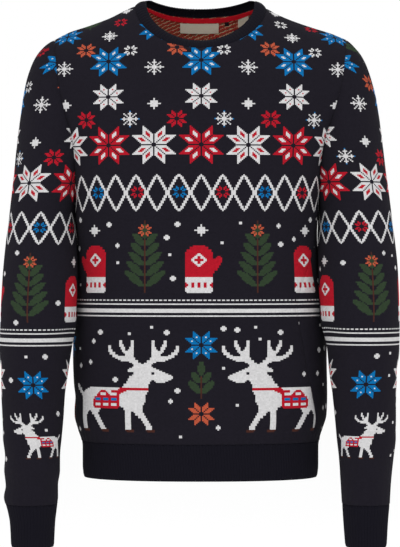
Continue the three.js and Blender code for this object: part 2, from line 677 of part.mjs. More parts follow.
// A ribbed strip: raised ribs outside, plain inside. surface(along, up) gives the point and its normal,
// with both from 0 to 1. A closed strip joins its own start.
function ribGeometry({ surface, ribs, rows, innerColumns, closed }) {
  const fine = ribs * 2;
  const points = [];
  const triangles = [];
  const grids = [
    { count: fine, depth: (i) => (i % 2 ? RIB_RISE : 0) },
    { count: innerColumns, depth: () => RIB_WALL + RIB_RISE },
  ].map(({ count, depth }) => {
    const stops = closed ? count : count + 1;
    const start = points.length;
    for (let row = 0; row <= rows; row++) {
      for (let i = 0; i < stops; i++) {
        const { at, normal } = surface(i / count, row / rows);
        points.push(at.clone().addScaledVector(normal, -depth(i)));
      }
    }
    return { count, id: (row, i) => start + row * stops + (closed ? i % stops : i) };
  });
  const [outer, inner] = grids;
  for (let row = 0; row < rows; row++) {
    for (let i = 0; i < outer.count; i++) {
      const corners = [outer.id(row, i), outer.id(row, i + 1), outer.id(row + 1, i + 1), outer.id(row + 1, i)];
      triangles.push([corners[0], corners[1], corners[2]], [corners[0], corners[2], corners[3]]);
    }
    for (let i = 0; i < inner.count; i++) {
      const corners = [inner.id(row, i), inner.id(row, i + 1), inner.id(row + 1, i + 1), inner.id(row + 1, i)];
      triangles.push([corners[0], corners[2], corners[1]], [corners[0], corners[3], corners[2]]);
    }
    if (closed) continue;
    const [a, b] = [outer.id(row, 0), outer.id(row + 1, 0)];
    const [c, d] = [inner.id(row, 0), inner.id(row + 1, 0)];
    triangles.push([a, b, d], [a, d, c]);
    const [e, f] = [outer.id(row, outer.count), outer.id(row + 1, outer.count)];
    const [g, h] = [inner.id(row, inner.count), inner.id(row + 1, inner.count)];
    triangles.push([e, h, f], [e, g, h]);
  }
  const edge = (grid, row) => (i) => grid.id(row, i);
  zip(triangles, edge(outer, 0), outer.count, edge(inner, 0), inner.count, true);
  zip(triangles, edge(outer, rows), outer.count, edge(inner, rows), inner.count, false);
  return solid(points, triangles);
}

// One half of the ribbed hem, between the side seams
function hemGeometry(panel) {
  const gap = SEAM_GAP / 2;
  const top = HEM_RIB_Z - gap;
  const rings = [HEM_END_Z, (HEM_END_Z + top) / 2, top].map((z) => bodyRing(z));
  const ends = rings.map((ring) =>
    panel === "front"
      ? { start: ring.left + gap, end: ring.right - gap }
      : { start: ring.right + gap, end: ring.walk.length + ring.left - gap },
  );
  const length = ends[0].end - ends[0].start;
  return ribGeometry({
    surface: (along, up) => {
      const ring = rings[Math.round(up * 2)];
      const { start, end } = ends[Math.round(up * 2)];
      const distance = lerp(start, end, along);
      return { at: ring.at(distance), normal: ringNormal(ring, distance) };
    },
    ribs: Math.round(length / HEM_RIB_PITCH),
    rows: 2,
    innerColumns: 36,
    closed: false,
  });
}

// A ribbed cuff, one closed ring
function cuffGeometry(side) {
  const direction = side === "left" ? 1 : -1;
  const top = CUFF_RIB_Z - SEAM_GAP / 2;
  const walks = [CUFF_END_Z, (CUFF_END_Z + top) / 2, top].map(
    (z) => new Walk((angle) => sleevePoint(side, z, angle * direction), -Math.PI, Math.PI),
  );
  return ribGeometry({
    surface: (along, up) => {
      const walk = walks[Math.round(up * 2)];
      const step = 1 / FINE;
      const at = walk.at(walk.length * along);
      const after = walk.at(walk.length * ((along + step) % 1));
      const before = walk.at(walk.length * ((along - step + 1) % 1));
      return { at, normal: after.sub(before).cross(vec(0, 0, 1)).normalize() };
    },
    ribs: CUFF_RIBS,
    rows: 2,
    innerColumns: 24,
    closed: true,
  });
}

// The ribbed neckband stands on the neckline seam and leans in to its top edge
function neckbandGeometry() {
  const mix = (stops, along, pick) => {
    const place = along * stops.length;
    const i = Math.floor(place) % stops.length;
    const share = place - Math.floor(place);
    return pick(stops[i]).clone().lerp(pick(stops[(i + 1) % stops.length]), share);
  };
  const low = (stop) => stop.at.clone().addScaledVector(stop.across, SEAM_GAP / 2);
  return ribGeometry({
    surface: (along, up) => {
      const foot = mix(neckline, along, low);
      const top = mix(neckline, along, (stop) => stop.top);
      const bandNormal = mix(neckline, along, (stop) => stop.bandNormal).normalize();
      const footNormal = mix(neckline, along, (stop) => stop.normal);
      const bulge = BAND_BULGE * Math.sin(Math.PI * up);
      const at = foot.lerp(top, up).addScaledVector(bandNormal, bulge);
      return { at, normal: up === 0 ? footNormal : bandNormal };
    },
    ribs: BAND_RIBS,
    rows: 2,
    innerColumns: neckline.length * 2,
    closed: true,
  });
}

// The inside of the back panel near the neckline: a place x across and a distance down from the seam
function backInside(x, down) {
  const side = x < 0 ? "left" : "right";
  const share = Math.abs(x) / SHOULDER_X;
  const turn = Math.asin(THREE.MathUtils.clamp(Math.abs(x) / NECK_X, 0, 1));
  const top = necklineAt("back", side, turn).level;
  const point = (s, level) => crownPoint("back", side, s, level);
  const from = point(share, top);
  const walk = new Walk((level) => point(share, level), top, top / 2);
  const at = walk.at(down);
  const across = point(share + 0.01, top).sub(from).setY(0).multiplyScalar(side === "left" ? -1 : 1);
  const below = walk.at(down + 2).sub(at);
  const normal = across.cross(below).normalize();
  return { at, normal };
}

// A flat trim on the inside of the back panel, moved in from its points
function trimGeometry({ x, width, top, height, columns: count, rows, square }) {
  const wall = new Wall(TAPE_WALL);
  let row = null;
  for (let j = 0; j <= rows; j++) {
    const points = [];
    for (let i = 0; i <= count; i++) {
      const across = x + width * (i / count - 0.5);
      const sag = square ? backInside(across, 0).at.z - backInside(x, 0).at.z : 0;
      const { at, normal } = backInside(across, top + (height * j) / rows + sag);
      const inward = normal.y > 0 ? normal.negate() : normal;
      points.push(wall.add({ at: at.addScaledVector(inward, KNIT_WALL + TRIM_CLEAR), normal: inward }));
    }
    if (row) wall.strip(points, row);
    row = points;
  }
  wall.points.forEach((point, i) => point.addScaledVector(wall.normals[i], TAPE_WALL));
  return wall.geometry();
}

// Cloth colours
const NAVY = 0x1c1b22;
const NAVY_RIB = 0x1a1a20;
const TAPE_RED = 0x8e1b28;
const LABEL_BEIGE = 0xc4b9a6;
const TAB_DARK = 0x202024;
const KNIT_ROUGHNESS = 0.95;
const LABEL_ROUGHNESS = 0.7;

function cloth(color, roughness) {
  return new THREE.MeshStandardMaterial({ color, roughness, metalness: 0 });
}

const sweater = new THREE.Group();

function addPiece(name, geometry, color, roughness = KNIT_ROUGHNESS) {
  const mesh = new THREE.Mesh(geometry, cloth(color, roughness));
  mesh.name = name;
  sweater.add(mesh);
}

addPiece("front", panelGeometry("front"), NAVY);
addPiece("back", panelGeometry("back"), NAVY);
for (const side of ["left", "right"]) {
  addPiece(`sleeve_${side}`, sleeveGeometry(side), NAVY);
  addPiece(`cuff_${side}`, cuffGeometry(side), NAVY_RIB);
}
addPiece("hem_front", hemGeometry("front"), NAVY_RIB);
addPiece("hem_back", hemGeometry("back"), NAVY_RIB);
addPiece("neckband", neckbandGeometry(), NAVY_RIB);

addPiece("neck_tape", trimGeometry({ ...TAPE, columns: 32, rows: 1 }), TAPE_RED);
const labels = [
  { name: "neck_label", color: LABEL_BEIGE, columns: 8, ...LABEL },
  { name: "size_label", color: LABEL_BEIGE, columns: 3, ...SIZE_LABEL },
  { name: "size_tab", color: TAB_DARK, columns: 1, ...SIZE_TAB },
];
for (const label of labels) {
  addPiece(label.name, trimGeometry({ ...label, rows: 2 }), label.color, LABEL_ROUGHNESS);
}

export default sweater;
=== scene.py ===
"""Christmas sweater in its worn form: knit, ribs, tape and labels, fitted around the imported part."""

import math

import bpy
import numpy as np
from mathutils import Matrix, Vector
from mathutils.kdtree import KDTree


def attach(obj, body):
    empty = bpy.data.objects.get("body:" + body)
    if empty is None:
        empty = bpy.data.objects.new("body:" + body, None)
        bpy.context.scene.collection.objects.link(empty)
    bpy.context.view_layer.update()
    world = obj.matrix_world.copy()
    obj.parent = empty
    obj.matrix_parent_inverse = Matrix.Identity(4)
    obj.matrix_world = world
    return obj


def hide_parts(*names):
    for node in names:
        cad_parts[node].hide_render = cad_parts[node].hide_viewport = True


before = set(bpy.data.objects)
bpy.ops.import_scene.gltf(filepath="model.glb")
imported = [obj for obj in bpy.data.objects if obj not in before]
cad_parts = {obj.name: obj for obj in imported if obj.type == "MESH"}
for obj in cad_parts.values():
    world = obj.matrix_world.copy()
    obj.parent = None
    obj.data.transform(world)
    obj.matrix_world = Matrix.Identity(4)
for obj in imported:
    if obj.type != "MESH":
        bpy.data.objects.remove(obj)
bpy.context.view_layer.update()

# Sizes in millimetres, in the part's own frame: +Z up, the front faces -Y
METRE = 0.001
NECK_X = 93
SHOULDER_X = 206
SHOULDER_Z = -44
UNDERARM_Z = -290
UNDERARM_Y = -22
HEM_RIB_Z = -611
HEM_END_Z = -662
CUFF_RIB_Z = -694
CUFF_END_Z = -753
BODY_ROUND = 2.3
CROWN_RISE = 71
CROWN_COLUMNS = ("depth", "fullness", "rounding", "neck_drop", "neck_late", "neck_lift")
CROWN = {
    "front": dict(zip(CROWN_COLUMNS, (-122, 1.7, 0.6, 63.5, 1, 0))),
    "back": dict(zip(CROWN_COLUMNS, (118, 2.6, 0.52, 5.5, 2.2, 19))),
}
BAND_LEAN = 16
BAND_RISE = {"front": 12, "back": 9.4}
BAND_TOP_Z = 10
BAND_LIFT = 0.3
BAND_BULGE = 2.2
BAND_RIBS = 110
CUFF_RIBS = 46
HEM_RIB_PITCH = 4
KNIT_WALL = 2.3
RIB_WALL = 1.7
RIB_RISE = 0.8
TRIM_CLEAR = 1.0

# One stitch, across and up, and the coarser steps of the inside skin
WALE = 2.1
COURSE = 1.8
INSIDE_STEP = 3

BODY_COLUMNS = ("z", "left", "right", "front", "back")
BODY = [
    (-662, 164.5, 164.5, -114, 108),
    (-645, 166, 166, -116, 110),
    (-620, 166, 166, -117, 111),
    (-607, 168, 168, -118.5, 113),
    (-594, 172, 172, -121, 115),
    (-576, 177, 177, -122.5, 116),
    (-553, 178, 178, -122, 115),
    (-500, 179, 179, -120, 112),
    (-465, 178.5, 178, -119.5, 110),
    (-430, 176.5, 174.5, -119.5, 109),
    (-390, 174.5, 169, -120, 110),
    (-350, 174.2, 165.5, -121, 112),
    (-320, 174, 164.5, -121.5, 115),
    (-290, 176.5, 166.5, -122, 118),
]
SIDE_SEAM_COLUMNS = ("z", "left", "right")
SIDE_SEAM = [
    (-662, -38, 42),
    (-600, -45, 48),
    (-542, -55, 64),
    (-500, -58, 74),
    (-430, -50, 84),
    (-370, -32, 56),
    (-320, -10, 18),
    (-290, 0, 0),
]
SHOULDER_SLOPE_COLUMNS = ("share", "left", "right")
SHOULDER_SLOPE = [
    (0, 0, 0),
    (0.06, 0.007, 0.007),
    (0.15, 0.045, 0.045),
    (0.25, 0.115, 0.12),
    (0.35, 0.215, 0.235),
    (0.451, 0.336, 0.38),
    (0.534, 0.448, 0.51),
    (0.636, 0.597, 0.634),
    (0.777, 0.743, 0.775),
    (0.903, 0.858, 0.888),
    (1, 1, 1),
]
ARMHOLE_COLUMNS = ("z", "left", "right")
ARMHOLE = [
    (-290, 176.5, 166.5),
    (-243, 175, 167),
    (-195, 178, 172.5),
    (-149, 190, 187),
    (-108, 199, 198),
    (-80, 202.5, 202),
    (-62, 204.5, 204.5),
    (-44, 206, 206),
]
CAP_COLUMNS = ("z", "outer_left", "outer_right", "inner_left", "inner_right", "middle", "half")
CAP = [
    (-255, 265.5, 265, 167, 160.5, -16, 64),
    (-220, 262.3, 260.8, 158.5, 156, -10.5, 63.5),
    (-187, 258.5, 256.5, 155.5, 154, -6, 62.5),
    (-155, 254.4, 252.4, 155, 154, -2.5, 60),
    (-128, 252.2, 249.6, 155, 155, 0, 56.5),
    (-105, 248.5, 244.5, 158, 158, 0, 51),
    (-84, 241.8, 237.5, 166, 166, 0, 43),
    (-68, 233.4, 229, 178, 178, 0, 33.5),
    (-54, 220.8, 217, 193, 193, 0, 20),
    (-44, 206, 206, 206, 206, 0, 0),
]
SLEEVE_TABLE_COLUMNS = ("z", "outer", "inner", "middle", "half")
SLEEVES = {
    "left": [
        (-753, 261, 201.9, -90, 32),
        (-720, 263, 200.4, -88, 34),
        (-703, 266.3, 198.5, -87, 37),
        (-685, 271, 196.6, -86, 39.5),
        (-670, 268.5, 196.6, -85, 39),
        (-648, 270.4, 193.8, -84, 42),
        (-630, 269, 193.9, -83, 42.5),
        (-604, 272, 191.8, -81, 46),
        (-577, 273.5, 189.6, -79.5, 49),
        (-545, 275.8, 187.5, -78, 52),
        (-512, 276.6, 182.8, -76, 54.5),
        (-480, 278.3, 178, -74, 56.5),
        (-436, 278.6, 171.5, -70, 60),
        (-414, 277.6, 171.5, -66, 61),
        (-372, 274.6, 171.2, -56, 62.5),
        (-330, 271.7, 172.2, -39, 63.5),
        (-305, 269.2, 175.1, -28, 64),
        (-290, 268.2, 176.5, -22, 64),
    ],
    "right": [
        (-753, 256.6, 199.5, -90, 32),
        (-720, 258.6, 197, -88, 34.5),
        (-690, 261.2, 195.2, -86, 38),
        (-668, 262.4, 193.5, -85, 40.5),
        (-631, 265.8, 191, -83, 44),
        (-604, 269, 188.2, -81, 46.5),
        (-577, 270, 186, -79.5, 49),
        (-545, 271, 182.6, -78, 52),
        (-512, 272.6, 177.9, -76, 54.5),
        (-480, 275.3, 175.1, -74, 56.5),
        (-436, 277.2, 165.6, -70, 60),
        (-414, 276.7, 165, -66, 61),
        (-372, 274.6, 164, -56, 62.5),
        (-330, 271.7, 164.2, -39, 63.5),
        (-305, 269.2, 165.7, -28, 64),
        (-290, 268.2, 166.5, -22, 64),
    ],
}

# Soft creases: around, z, lean in degrees from level, length, width and depth. Around is the distance from
# the centre front to the right on the body, and from the outer line towards the front on a sleeve.
BODY_CREASES = [
    (-158, -352, 62, 85, 15, 0.8),
    (160, -360, 118, 80, 14, 1.0),
    (-62, -585, 4, 60, 9, 1.6),
    (84, -590, 176, 55, 8, 1.8),
    (335, -400, 58, 90, 16, 3.2),
    (-352, -430, 120, 95, 17, 3.4),
    (460, -520, 6, 110, 20, 3.6),
    (-432, -578, 174, 80, 12, 2.4),
    (240, -560, 12, 50, 12, 2.2),
    (-240, -545, 168, 55, 12, 2.0),
]
SLEEVE_CREASES = [
    (-118, -352, 40, 50, 11, 2.4),
    (150, -455, 12, 60, 10, 3.4),
    (128, -490, -14, 52, 9, 3.0),
    (-26, -520, 18, 45, 10, 1.8),
    (52, -600, -10, 40, 9, 1.8),
    (-80, -640, 8, 38, 8, 1.8),
]


# Curves and paths

def lerp(a, b, t):
    return a + (b - a) * t


def smooth_step(low, high, at):
    t = np.clip((at - low) / (high - low), 0, 1)
    return t * t * (3 - 2 * t)


def curve(rows, columns, key, name):
    """A smooth curve without overshoot through one column of a table whose key rises."""
    x = np.array([row[columns.index(key)] for row in rows], float)
    y = np.array([row[columns.index(name)] for row in rows], float)
    slopes = np.diff(y) / np.diff(x)
    before = np.concatenate([slopes[:1], slopes])
    after = np.concatenate([slopes, slopes[-1:]])
    both = np.where(before * after > 0, before + after, 1)
    tangents = np.where(before * after > 0, 2 * before * after / both, 0)

    def at(value):
        spot = np.clip(value, x[0], x[-1])
        i = np.clip(np.searchsorted(x, spot) - 1, 0, len(x) - 2)
        span = x[i + 1] - x[i]
        t = (spot - x[i]) / span
        ease = lerp(y[i], y[i + 1], t * t * (3 - 2 * t))
        return ease + span * (t * (1 - t) ** 2 * tangents[i] - t * t * (1 - t) * tangents[i + 1])

    return at


body = {name: curve(BODY, BODY_COLUMNS, "z", name) for name in BODY_COLUMNS[1:]}
side_seam = {side: curve(SIDE_SEAM, SIDE_SEAM_COLUMNS, "z", side) for side in ("left", "right")}
armhole = {side: curve(ARMHOLE, ARMHOLE_COLUMNS, "z", side) for side in ("left", "right")}
slope = {side: curve(SHOULDER_SLOPE, SHOULDER_SLOPE_COLUMNS, "share", side) for side in ("left", "right")}


def sleeve_curves(side):
    """A whole sleeve's curves: its own rows below the underarm, and the cap above it."""
    picked = [CAP_COLUMNS.index(name) for name in ("z", "outer_" + side, "inner_" + side, "middle", "half")]
    rows = SLEEVES[side] + [tuple(row[i] for i in picked) for row in CAP]
    return {name: curve(rows, SLEEVE_TABLE_COLUMNS, "z", name) for name in SLEEVE_TABLE_COLUMNS[1:]}


sleeves = {side: sleeve_curves(side) for side in ("left", "right")}


def run_along(points, axis):
    """Distances along polylines that lie along one axis of an array of points."""
    steps = np.linalg.norm(np.diff(points, axis=axis), axis=-1)
    start = np.zeros_like(np.take(steps, [0], axis=axis))
    return np.concatenate([start, np.cumsum(steps, axis=axis)], axis=axis)


def place_on(path_run, path_points, at):
    """Points at the given distances along one polyline."""
    return np.stack([np.interp(at, path_run, path_points[:, i]) for i in range(3)], axis=-1)


def unit(vectors):
    """Vectors, one a row, at a length of one."""
    return vectors / np.linalg.norm(vectors, axis=1, keepdims=True)


# The form: body sections, sleeve sections and the crown of the chest and back

RING_QUARTER = 160


def body_ring(z):
    """The section at a height: its points from the centre back round by the left, and their run."""
    turn = np.radians(np.linspace(-180, 180, 4 * RING_QUARTER + 1))
    across = np.sin(turn)
    ahead = np.cos(turn)
    width = np.where(across < 0, body["left"](z), body["right"](z))
    deep = np.where(ahead < 0, body["back"](z), body["front"](z)) - UNDERARM_Y
    x = width * np.sign(across) * np.abs(across) ** (2 / BODY_ROUND)
    y = UNDERARM_Y + deep * np.abs(ahead) ** (2 / BODY_ROUND)
    points = np.stack([x, y, np.full_like(x, z)], axis=-1)
    return points, run_along(points, 0)


def sleeve_points(side, z, angle):
    """Points on a sleeve; an angle of 0 faces outwards and pi / 2 faces forwards."""
    part = sleeves[side]
    outer = part["outer"](z)
    radius = (outer - part["inner"](z)) / 2
    x = outer - radius + radius * np.cos(angle)
    y = part["middle"](z) - part["half"](z) * np.sin(angle)
    return np.stack(np.broadcast_arrays(-x if side == "left" else x, y, z), axis=-1)


def armhole_turn(side, z):
    """Half a sleeve section's opening angle at the armhole: pi is closed."""
    part = sleeves[side]
    outer = part["outer"](z)
    radius = np.maximum((outer - part["inner"](z)) / 2, 1e-9)
    share = np.clip((armhole[side](z) - (outer - radius)) / radius, -1, 1)
    return np.where(radius > 1e-6, np.arccos(share), math.pi / 2)


# Where the crown is worked out: levels lie closer near the shoulder
CROWN_LEVELS = 1 - (1 - np.linspace(0, 1, 241)) ** 2
CROWN_SHARES = np.linspace(0, 1, 161)


def crown_grid(panel, side, shares):
    """Points of the upper body at every crown level (rows) and share of the width (columns)."""
    level = CROWN_LEVELS[:, None]
    share = shares[None, :]
    shape = CROWN[panel]
    edge_z = lerp(UNDERARM_Z, SHOULDER_Z, level)
    facing = 1 if panel == "front" else -1
    edge = sleeve_points(side, edge_z, armhole_turn(side, edge_z) * facing)
    line_z = edge_z + CROWN_RISE * level**2
    climb = (line_z - UNDERARM_Z) / (SHOULDER_Z + CROWN_RISE - UNDERARM_Z)
    line_y = shape["depth"] * np.maximum(1 - climb ** shape["fullness"], 0) ** shape["rounding"]
    base = UNDERARM_Y * (1 - level)
    deep = np.where(level < 1, line_y - base, 1)
    ratio = np.clip((edge[..., 1] - base) / deep, 0, 0.98)
    reach = (1 - ratio**BODY_ROUND) ** (1 / BODY_ROUND)
    y = base + deep * np.maximum(1 - (share * reach) ** BODY_ROUND, 0) ** (1 / BODY_ROUND)
    y = np.where(level < 1, y, 0)
    x = edge[..., 0] * share
    z = line_z - CROWN_RISE * level**2 * slope[side](share)
    return np.stack(np.broadcast_arrays(x, y, z), axis=-1)


# Between these heights, courses turn from level lines to lines spaced along the cloth
ROLL_LOW = -175
ROLL_HIGH = -125


def crown_heights(points):
    """Each point's height as courses count it: level up the chest, then along the cloth over the shoulder."""
    steps = np.diff(points, axis=0)
    rise = steps[..., 2]
    weight = smooth_step(ROLL_LOW, ROLL_HIGH, points[1:, :, 2])
    gain = rise + weight * (np.linalg.norm(steps, axis=-1) - rise)
    return UNDERARM_Z + np.concatenate([np.zeros_like(gain[:1]), np.cumsum(gain, axis=0)])


def neck_point_z(side):
    """The height of a shoulder seam's neck point."""
    return SHOULDER_Z + CROWN_RISE * (1 - slope[side](NECK_X / SHOULDER_X))


def neck_lift(panel, out):
    """How far the neckline is lifted at a share of the way out to the neck point."""
    return CROWN[panel]["neck_lift"] * out**4 * np.sqrt(np.maximum(1 - out**2, 0))


def neckline(panel, side, turns):
    """The neckline's share of the width and crown level, from the centre, 0, to the neck point, pi / 2."""
    shape = CROWN[panel]
    share = NECK_X / SHOULDER_X * np.sin(turns)
    fall = lerp(neck_point_z(side), -shape["neck_drop"], np.maximum(np.cos(turns), 0) ** shape["neck_late"])
    z = fall + neck_lift(panel, np.sin(turns))
    rise = CROWN_RISE * (1 - slope[side](share))
    climb = SHOULDER_Z - UNDERARM_Z
    level = (np.sqrt(climb**2 + 4 * rise * (z - UNDERARM_Z)) - climb) / (2 * rise)
    return share, np.minimum(level, 1)


def crown_points_at(panel, side, shares, levels):
    """Single points of the upper body, one for each pair of share and level."""
    grid = crown_grid(panel, side, shares)
    return np.array([place_on(CROWN_LEVELS, grid[:, i], level) for i, level in enumerate(levels)])


# Rows of cloth. A row is a list of stretches; each is a dict of a fine path along it: its run, measured
# from the row's centre line, its points, and where the stretch starts and ends.

def stretch(run, points, start, end):
    return {"run": run, "points": points, "start": start, "end": end}


def lower_rows(panel, heights):
    rows = []
    for z in heights:
        points, run = body_ring(z)
        left = run[RING_QUARTER] + side_seam["left"](z)
        right = run[3 * RING_QUARTER] - side_seam["right"](z)
        if panel == "front":
            middle = run[2 * RING_QUARTER]
            rows.append([stretch(run - middle, points, left - middle, right - middle)])
            continue
        half = 2 * RING_QUARTER
        total = run[-1]
        path = np.concatenate([points[half:], points[1 : half + 1]])
        path_run = np.concatenate([run[half:] - total, run[1 : half + 1]])
        rows.append([stretch(path_run, path, right - total, left)])
    return rows


def crown_side(panel, side, heights):
    """Half of each upper row: its run and points from the centre, and where the cloth starts and ends."""
    grid = crown_grid(panel, side, CROWN_SHARES)
    height = crown_heights(grid)
    columns = range(len(CROWN_SHARES))
    points = np.stack([place_on(height[:, j], grid[:, j], heights) for j in columns], axis=1)
    run = run_along(points, 1)
    share, level = neckline(panel, side, np.linspace(0, math.pi / 2, 91))
    neck_grid = crown_grid(panel, side, share)
    neck_height = crown_heights(neck_grid)
    neck = np.array([np.interp(level[i], CROWN_LEVELS, neck_height[:, i]) for i in range(len(share))])
    seam_share = np.concatenate([[share[-1]], CROWN_SHARES[CROWN_SHARES > share[-1]]])
    seam_height = np.concatenate([[neck[-1]], height[-1, CROWN_SHARES > share[-1]]])
    starts = np.interp(heights, neck, share, left=0)
    ends = np.interp(heights, seam_height[::-1], seam_share[::-1], left=1)
    ends = np.maximum(ends, starts)
    start_run = [np.interp(starts[i], CROWN_SHARES, run[i]) for i in range(len(heights))]
    end_run = [np.interp(ends[i], CROWN_SHARES, run[i]) for i in range(len(heights))]
    return {"points": points, "run": run, "start": start_run, "end": end_run, "neck": neck}


def panel_rows(panel):
    """All rows of the front or back, each row's height, and the number of the row where the neck opens."""
    first, second = ("left", "right") if panel == "front" else ("right", "left")
    probe = np.array([UNDERARM_Z, SHOULDER_Z])
    necks = [crown_side(panel, side, probe)["neck"] for side in (first, second)]
    neck_low = necks[0][0]
    low_count = round((UNDERARM_Z - HEM_RIB_Z) / COURSE)
    whole = round((neck_low - HEM_RIB_Z) / COURSE / INSIDE_STEP) * INSIDE_STEP
    low = np.linspace(HEM_RIB_Z, UNDERARM_Z, low_count + 1)
    middle = np.linspace(UNDERARM_Z, neck_low, whole - low_count + 1)[1:]
    top_count = math.ceil((necks[0][-1] - neck_low) / COURSE)
    tops = [np.linspace(neck_low, neck[-1], top_count + 1)[1:] for neck in necks]
    uppers = [np.concatenate([middle, top]) for top in tops]
    rows = lower_rows(panel, low)
    a, b = (crown_side(panel, side, upper) for side, upper in zip((first, second), uppers))
    for i in range(len(uppers[0])):
        if i < len(middle):
            run = np.concatenate([-a["run"][i][:0:-1], b["run"][i]])
            points = np.concatenate([a["points"][i][:0:-1], b["points"][i]])
            rows.append([stretch(run, points, -a["end"][i], b["end"][i])])
            continue
        near = stretch(-a["run"][i][::-1], a["points"][i][::-1], -a["end"][i], -a["start"][i])
        far = stretch(b["run"][i], b["points"][i], b["start"][i], b["end"][i])
        rows.append([near, far])
    return rows, np.concatenate([low, uppers[0]]), whole


def sleeve_rows(side):
    """All rows of a sleeve, from the cuff to the top of its cap, evenly spaced along its outer line."""
    fine = np.linspace(CUFF_RIB_Z, SHOULDER_Z, 1301)
    line = sleeve_points(side, fine, np.zeros_like(fine))
    run = run_along(line, 0)
    count = round(run[-1] / COURSE / INSIDE_STEP) * INSIDE_STEP
    heights = np.interp(np.linspace(0, run[-1], count + 1), run, fine)
    direction = 1 if side == "left" else -1
    rows = []
    for z in heights:
        widest = math.pi if z <= UNDERARM_Z else float(armhole_turn(side, z))
        angle = np.linspace(-widest, widest, 2 * RING_QUARTER + 1)
        points = sleeve_points(side, np.full_like(angle, z), angle * direction)
        path_run = run_along(points, 0)
        path_run = path_run - path_run[RING_QUARTER]
        rows.append([stretch(path_run, points, path_run[0], path_run[-1])])
    return rows, heights


# A skin: rows of points at every stitch, cut off at the panel's edges

def row_columns(part, step):
    """Columns of one stretch: whole stitches between its two ends, and the ends themselves."""
    size = WALE * step
    low = math.floor(part["start"] / size + 1e-6)
    high = max(math.ceil(part["end"] / size - 1e-6), low)
    at = np.arange(low, high + 1) * size
    at[0] = part["start"]
    at[-1] = part["end"]
    return low, at


def strip_faces(low_ids, low_first, high_ids, high_first):
    """Faces between two rows, whose ends stand in for the columns that they lack, and each face's column."""
    first = min(low_first, high_first)
    last = max(low_first + len(low_ids), high_first + len(high_ids)) - 1
    k = np.arange(first, last)

    def pick(ids, start, at):
        return ids[np.clip(at - start, 0, len(ids) - 1)]

    a = pick(low_ids, low_first, k)
    b = pick(low_ids, low_first, k + 1)
    c = pick(high_ids, high_first, k + 1)
    d = pick(high_ids, high_first, k)
    faces = np.stack([a, b, c, d], axis=1)
    keep = ~((a == b) & (c == d))
    return faces[keep], k[keep]


class Skin:
    """The points, faces and stitch places of one layer of a panel."""

    def __init__(self, rows, step, split):
        picked = sorted(set(range(0, len(rows), step)) | {len(rows) - 1} | ({split} if split else set()))
        self.points = []
        self.around = []
        self.course = []
        self.faces = []
        self.cells = []
        self.count = 0
        previous = None
        for r in picked:
            current = [self.add(part, r, step) for part in rows[r]]
            if previous is not None:
                self.join(previous, current, previous_row)
            previous = current
            previous_row = r
        self.points = np.concatenate(self.points)
        self.around = np.concatenate(self.around)
        self.course = np.concatenate(self.course)
        self.faces = np.concatenate(self.faces)
        self.cells = np.concatenate(self.cells)

    def add(self, part, row, step):
        low, at = row_columns(part, step)
        self.points.append(place_on(part["run"], part["points"], at))
        self.around.append(at)
        self.course.append(np.full(len(at), float(row)))
        ids = np.arange(self.count, self.count + len(at))
        self.count += len(at)
        return low, ids

    def join(self, low_row, high_row, row):
        if len(low_row) < len(high_row):
            first, ids = low_row[0]
            middle = -first
            low_row = [(first, ids[: middle + 1]), (0, ids[middle:])]
        for (low_first, low_ids), (high_first, high_ids) in zip(low_row, high_row):
            faces, columns = strip_faces(low_ids, low_first, high_ids, high_first)
            self.faces.append(faces)
            self.cells.append(np.stack([columns, np.full(len(columns), row)], axis=1))

    def normals(self):
        a, b, c, d = (self.points[self.faces[:, i]] for i in range(4))
        face = np.cross(c - a, d - b)
        total = np.zeros_like(self.points)
        for i in range(4):
            np.add.at(total, self.faces[:, i], face)
        return total / np.maximum(np.linalg.norm(total, axis=1, keepdims=True), 1e-12)

    def edge_loop(self):
        """The panel's edge as one loop of point numbers, with the cloth on its left."""
        starts = self.faces.ravel()
        ends = np.roll(self.faces, -1, axis=1).ravel()
        real = starts != ends
        starts, ends = starts[real], ends[real]
        forward = starts * self.count + ends
        open_edge = ~np.isin(forward, ends * self.count + starts)
        after = dict(zip(starts[open_edge].tolist(), ends[open_edge].tolist()))
        first = min(after)
        loop = [first]
        while after[loop[-1]] != first:
            loop.append(after[loop[-1]])
        return loop


def press(around, height, creases):
    """How deep the creases press the cloth in."""
    total = np.zeros_like(around)
    for where, z, lean, length, width, depth in creases:
        across = around - where
        up = height - z
        turn = math.radians(lean)
        along = across * math.cos(turn) + up * math.sin(turn)
        off = up * math.cos(turn) - across * math.sin(turn)
        total += depth * np.exp(-((along / length) ** 2) - (off / width) ** 2)
    return total


# Slow waves that keep the cloth from looking turned on a lathe: waves round and up per metre, phase, height
WAVES = [
    (5.2, 3.1, 0.4, 0.55),
    (-3.7, 6.3, 1.9, 0.5),
    (9.1, -4.4, 3.1, 0.35),
    (-8.3, -9.2, 5.0, 0.3),
    (14.0, 6.0, 2.2, 0.2),
]
PUCKER_WAVE = 11.0
PUCKER_FADE = 16.0
PUCKER_DEPTH = 0.45
PUCKER_STRAY = 0.9
PUCKER_STRAY_RUN = 31.0


def waves(around, height):
    total = np.zeros_like(around)
    for turns, up, phase, size in WAVES:
        total += size * np.sin(2 * math.pi * METRE * (turns * around + up * height) + phase)
    return total


def puckers(around, height, rib_z):
    """Small gathers where the knit meets its rib."""
    fade = np.exp(-np.maximum(height - rib_z, 0) / PUCKER_FADE)
    wobble = np.sin(2 * math.pi * around / PUCKER_WAVE + PUCKER_STRAY * np.sin(around / PUCKER_STRAY_RUN))
    return PUCKER_DEPTH * fade * wobble


# Seams: how deep they sink and how far that reaches, where creases fade out near them, and how close to a
# seam's line a point counts as on it
SEAM_DIP = 0.9
SEAM_REACH = 3.0
SEAM_HOLD = 9.0
ON_SEAM = 0.5
ARM_MIDDLE = np.array([0, -10, -170])


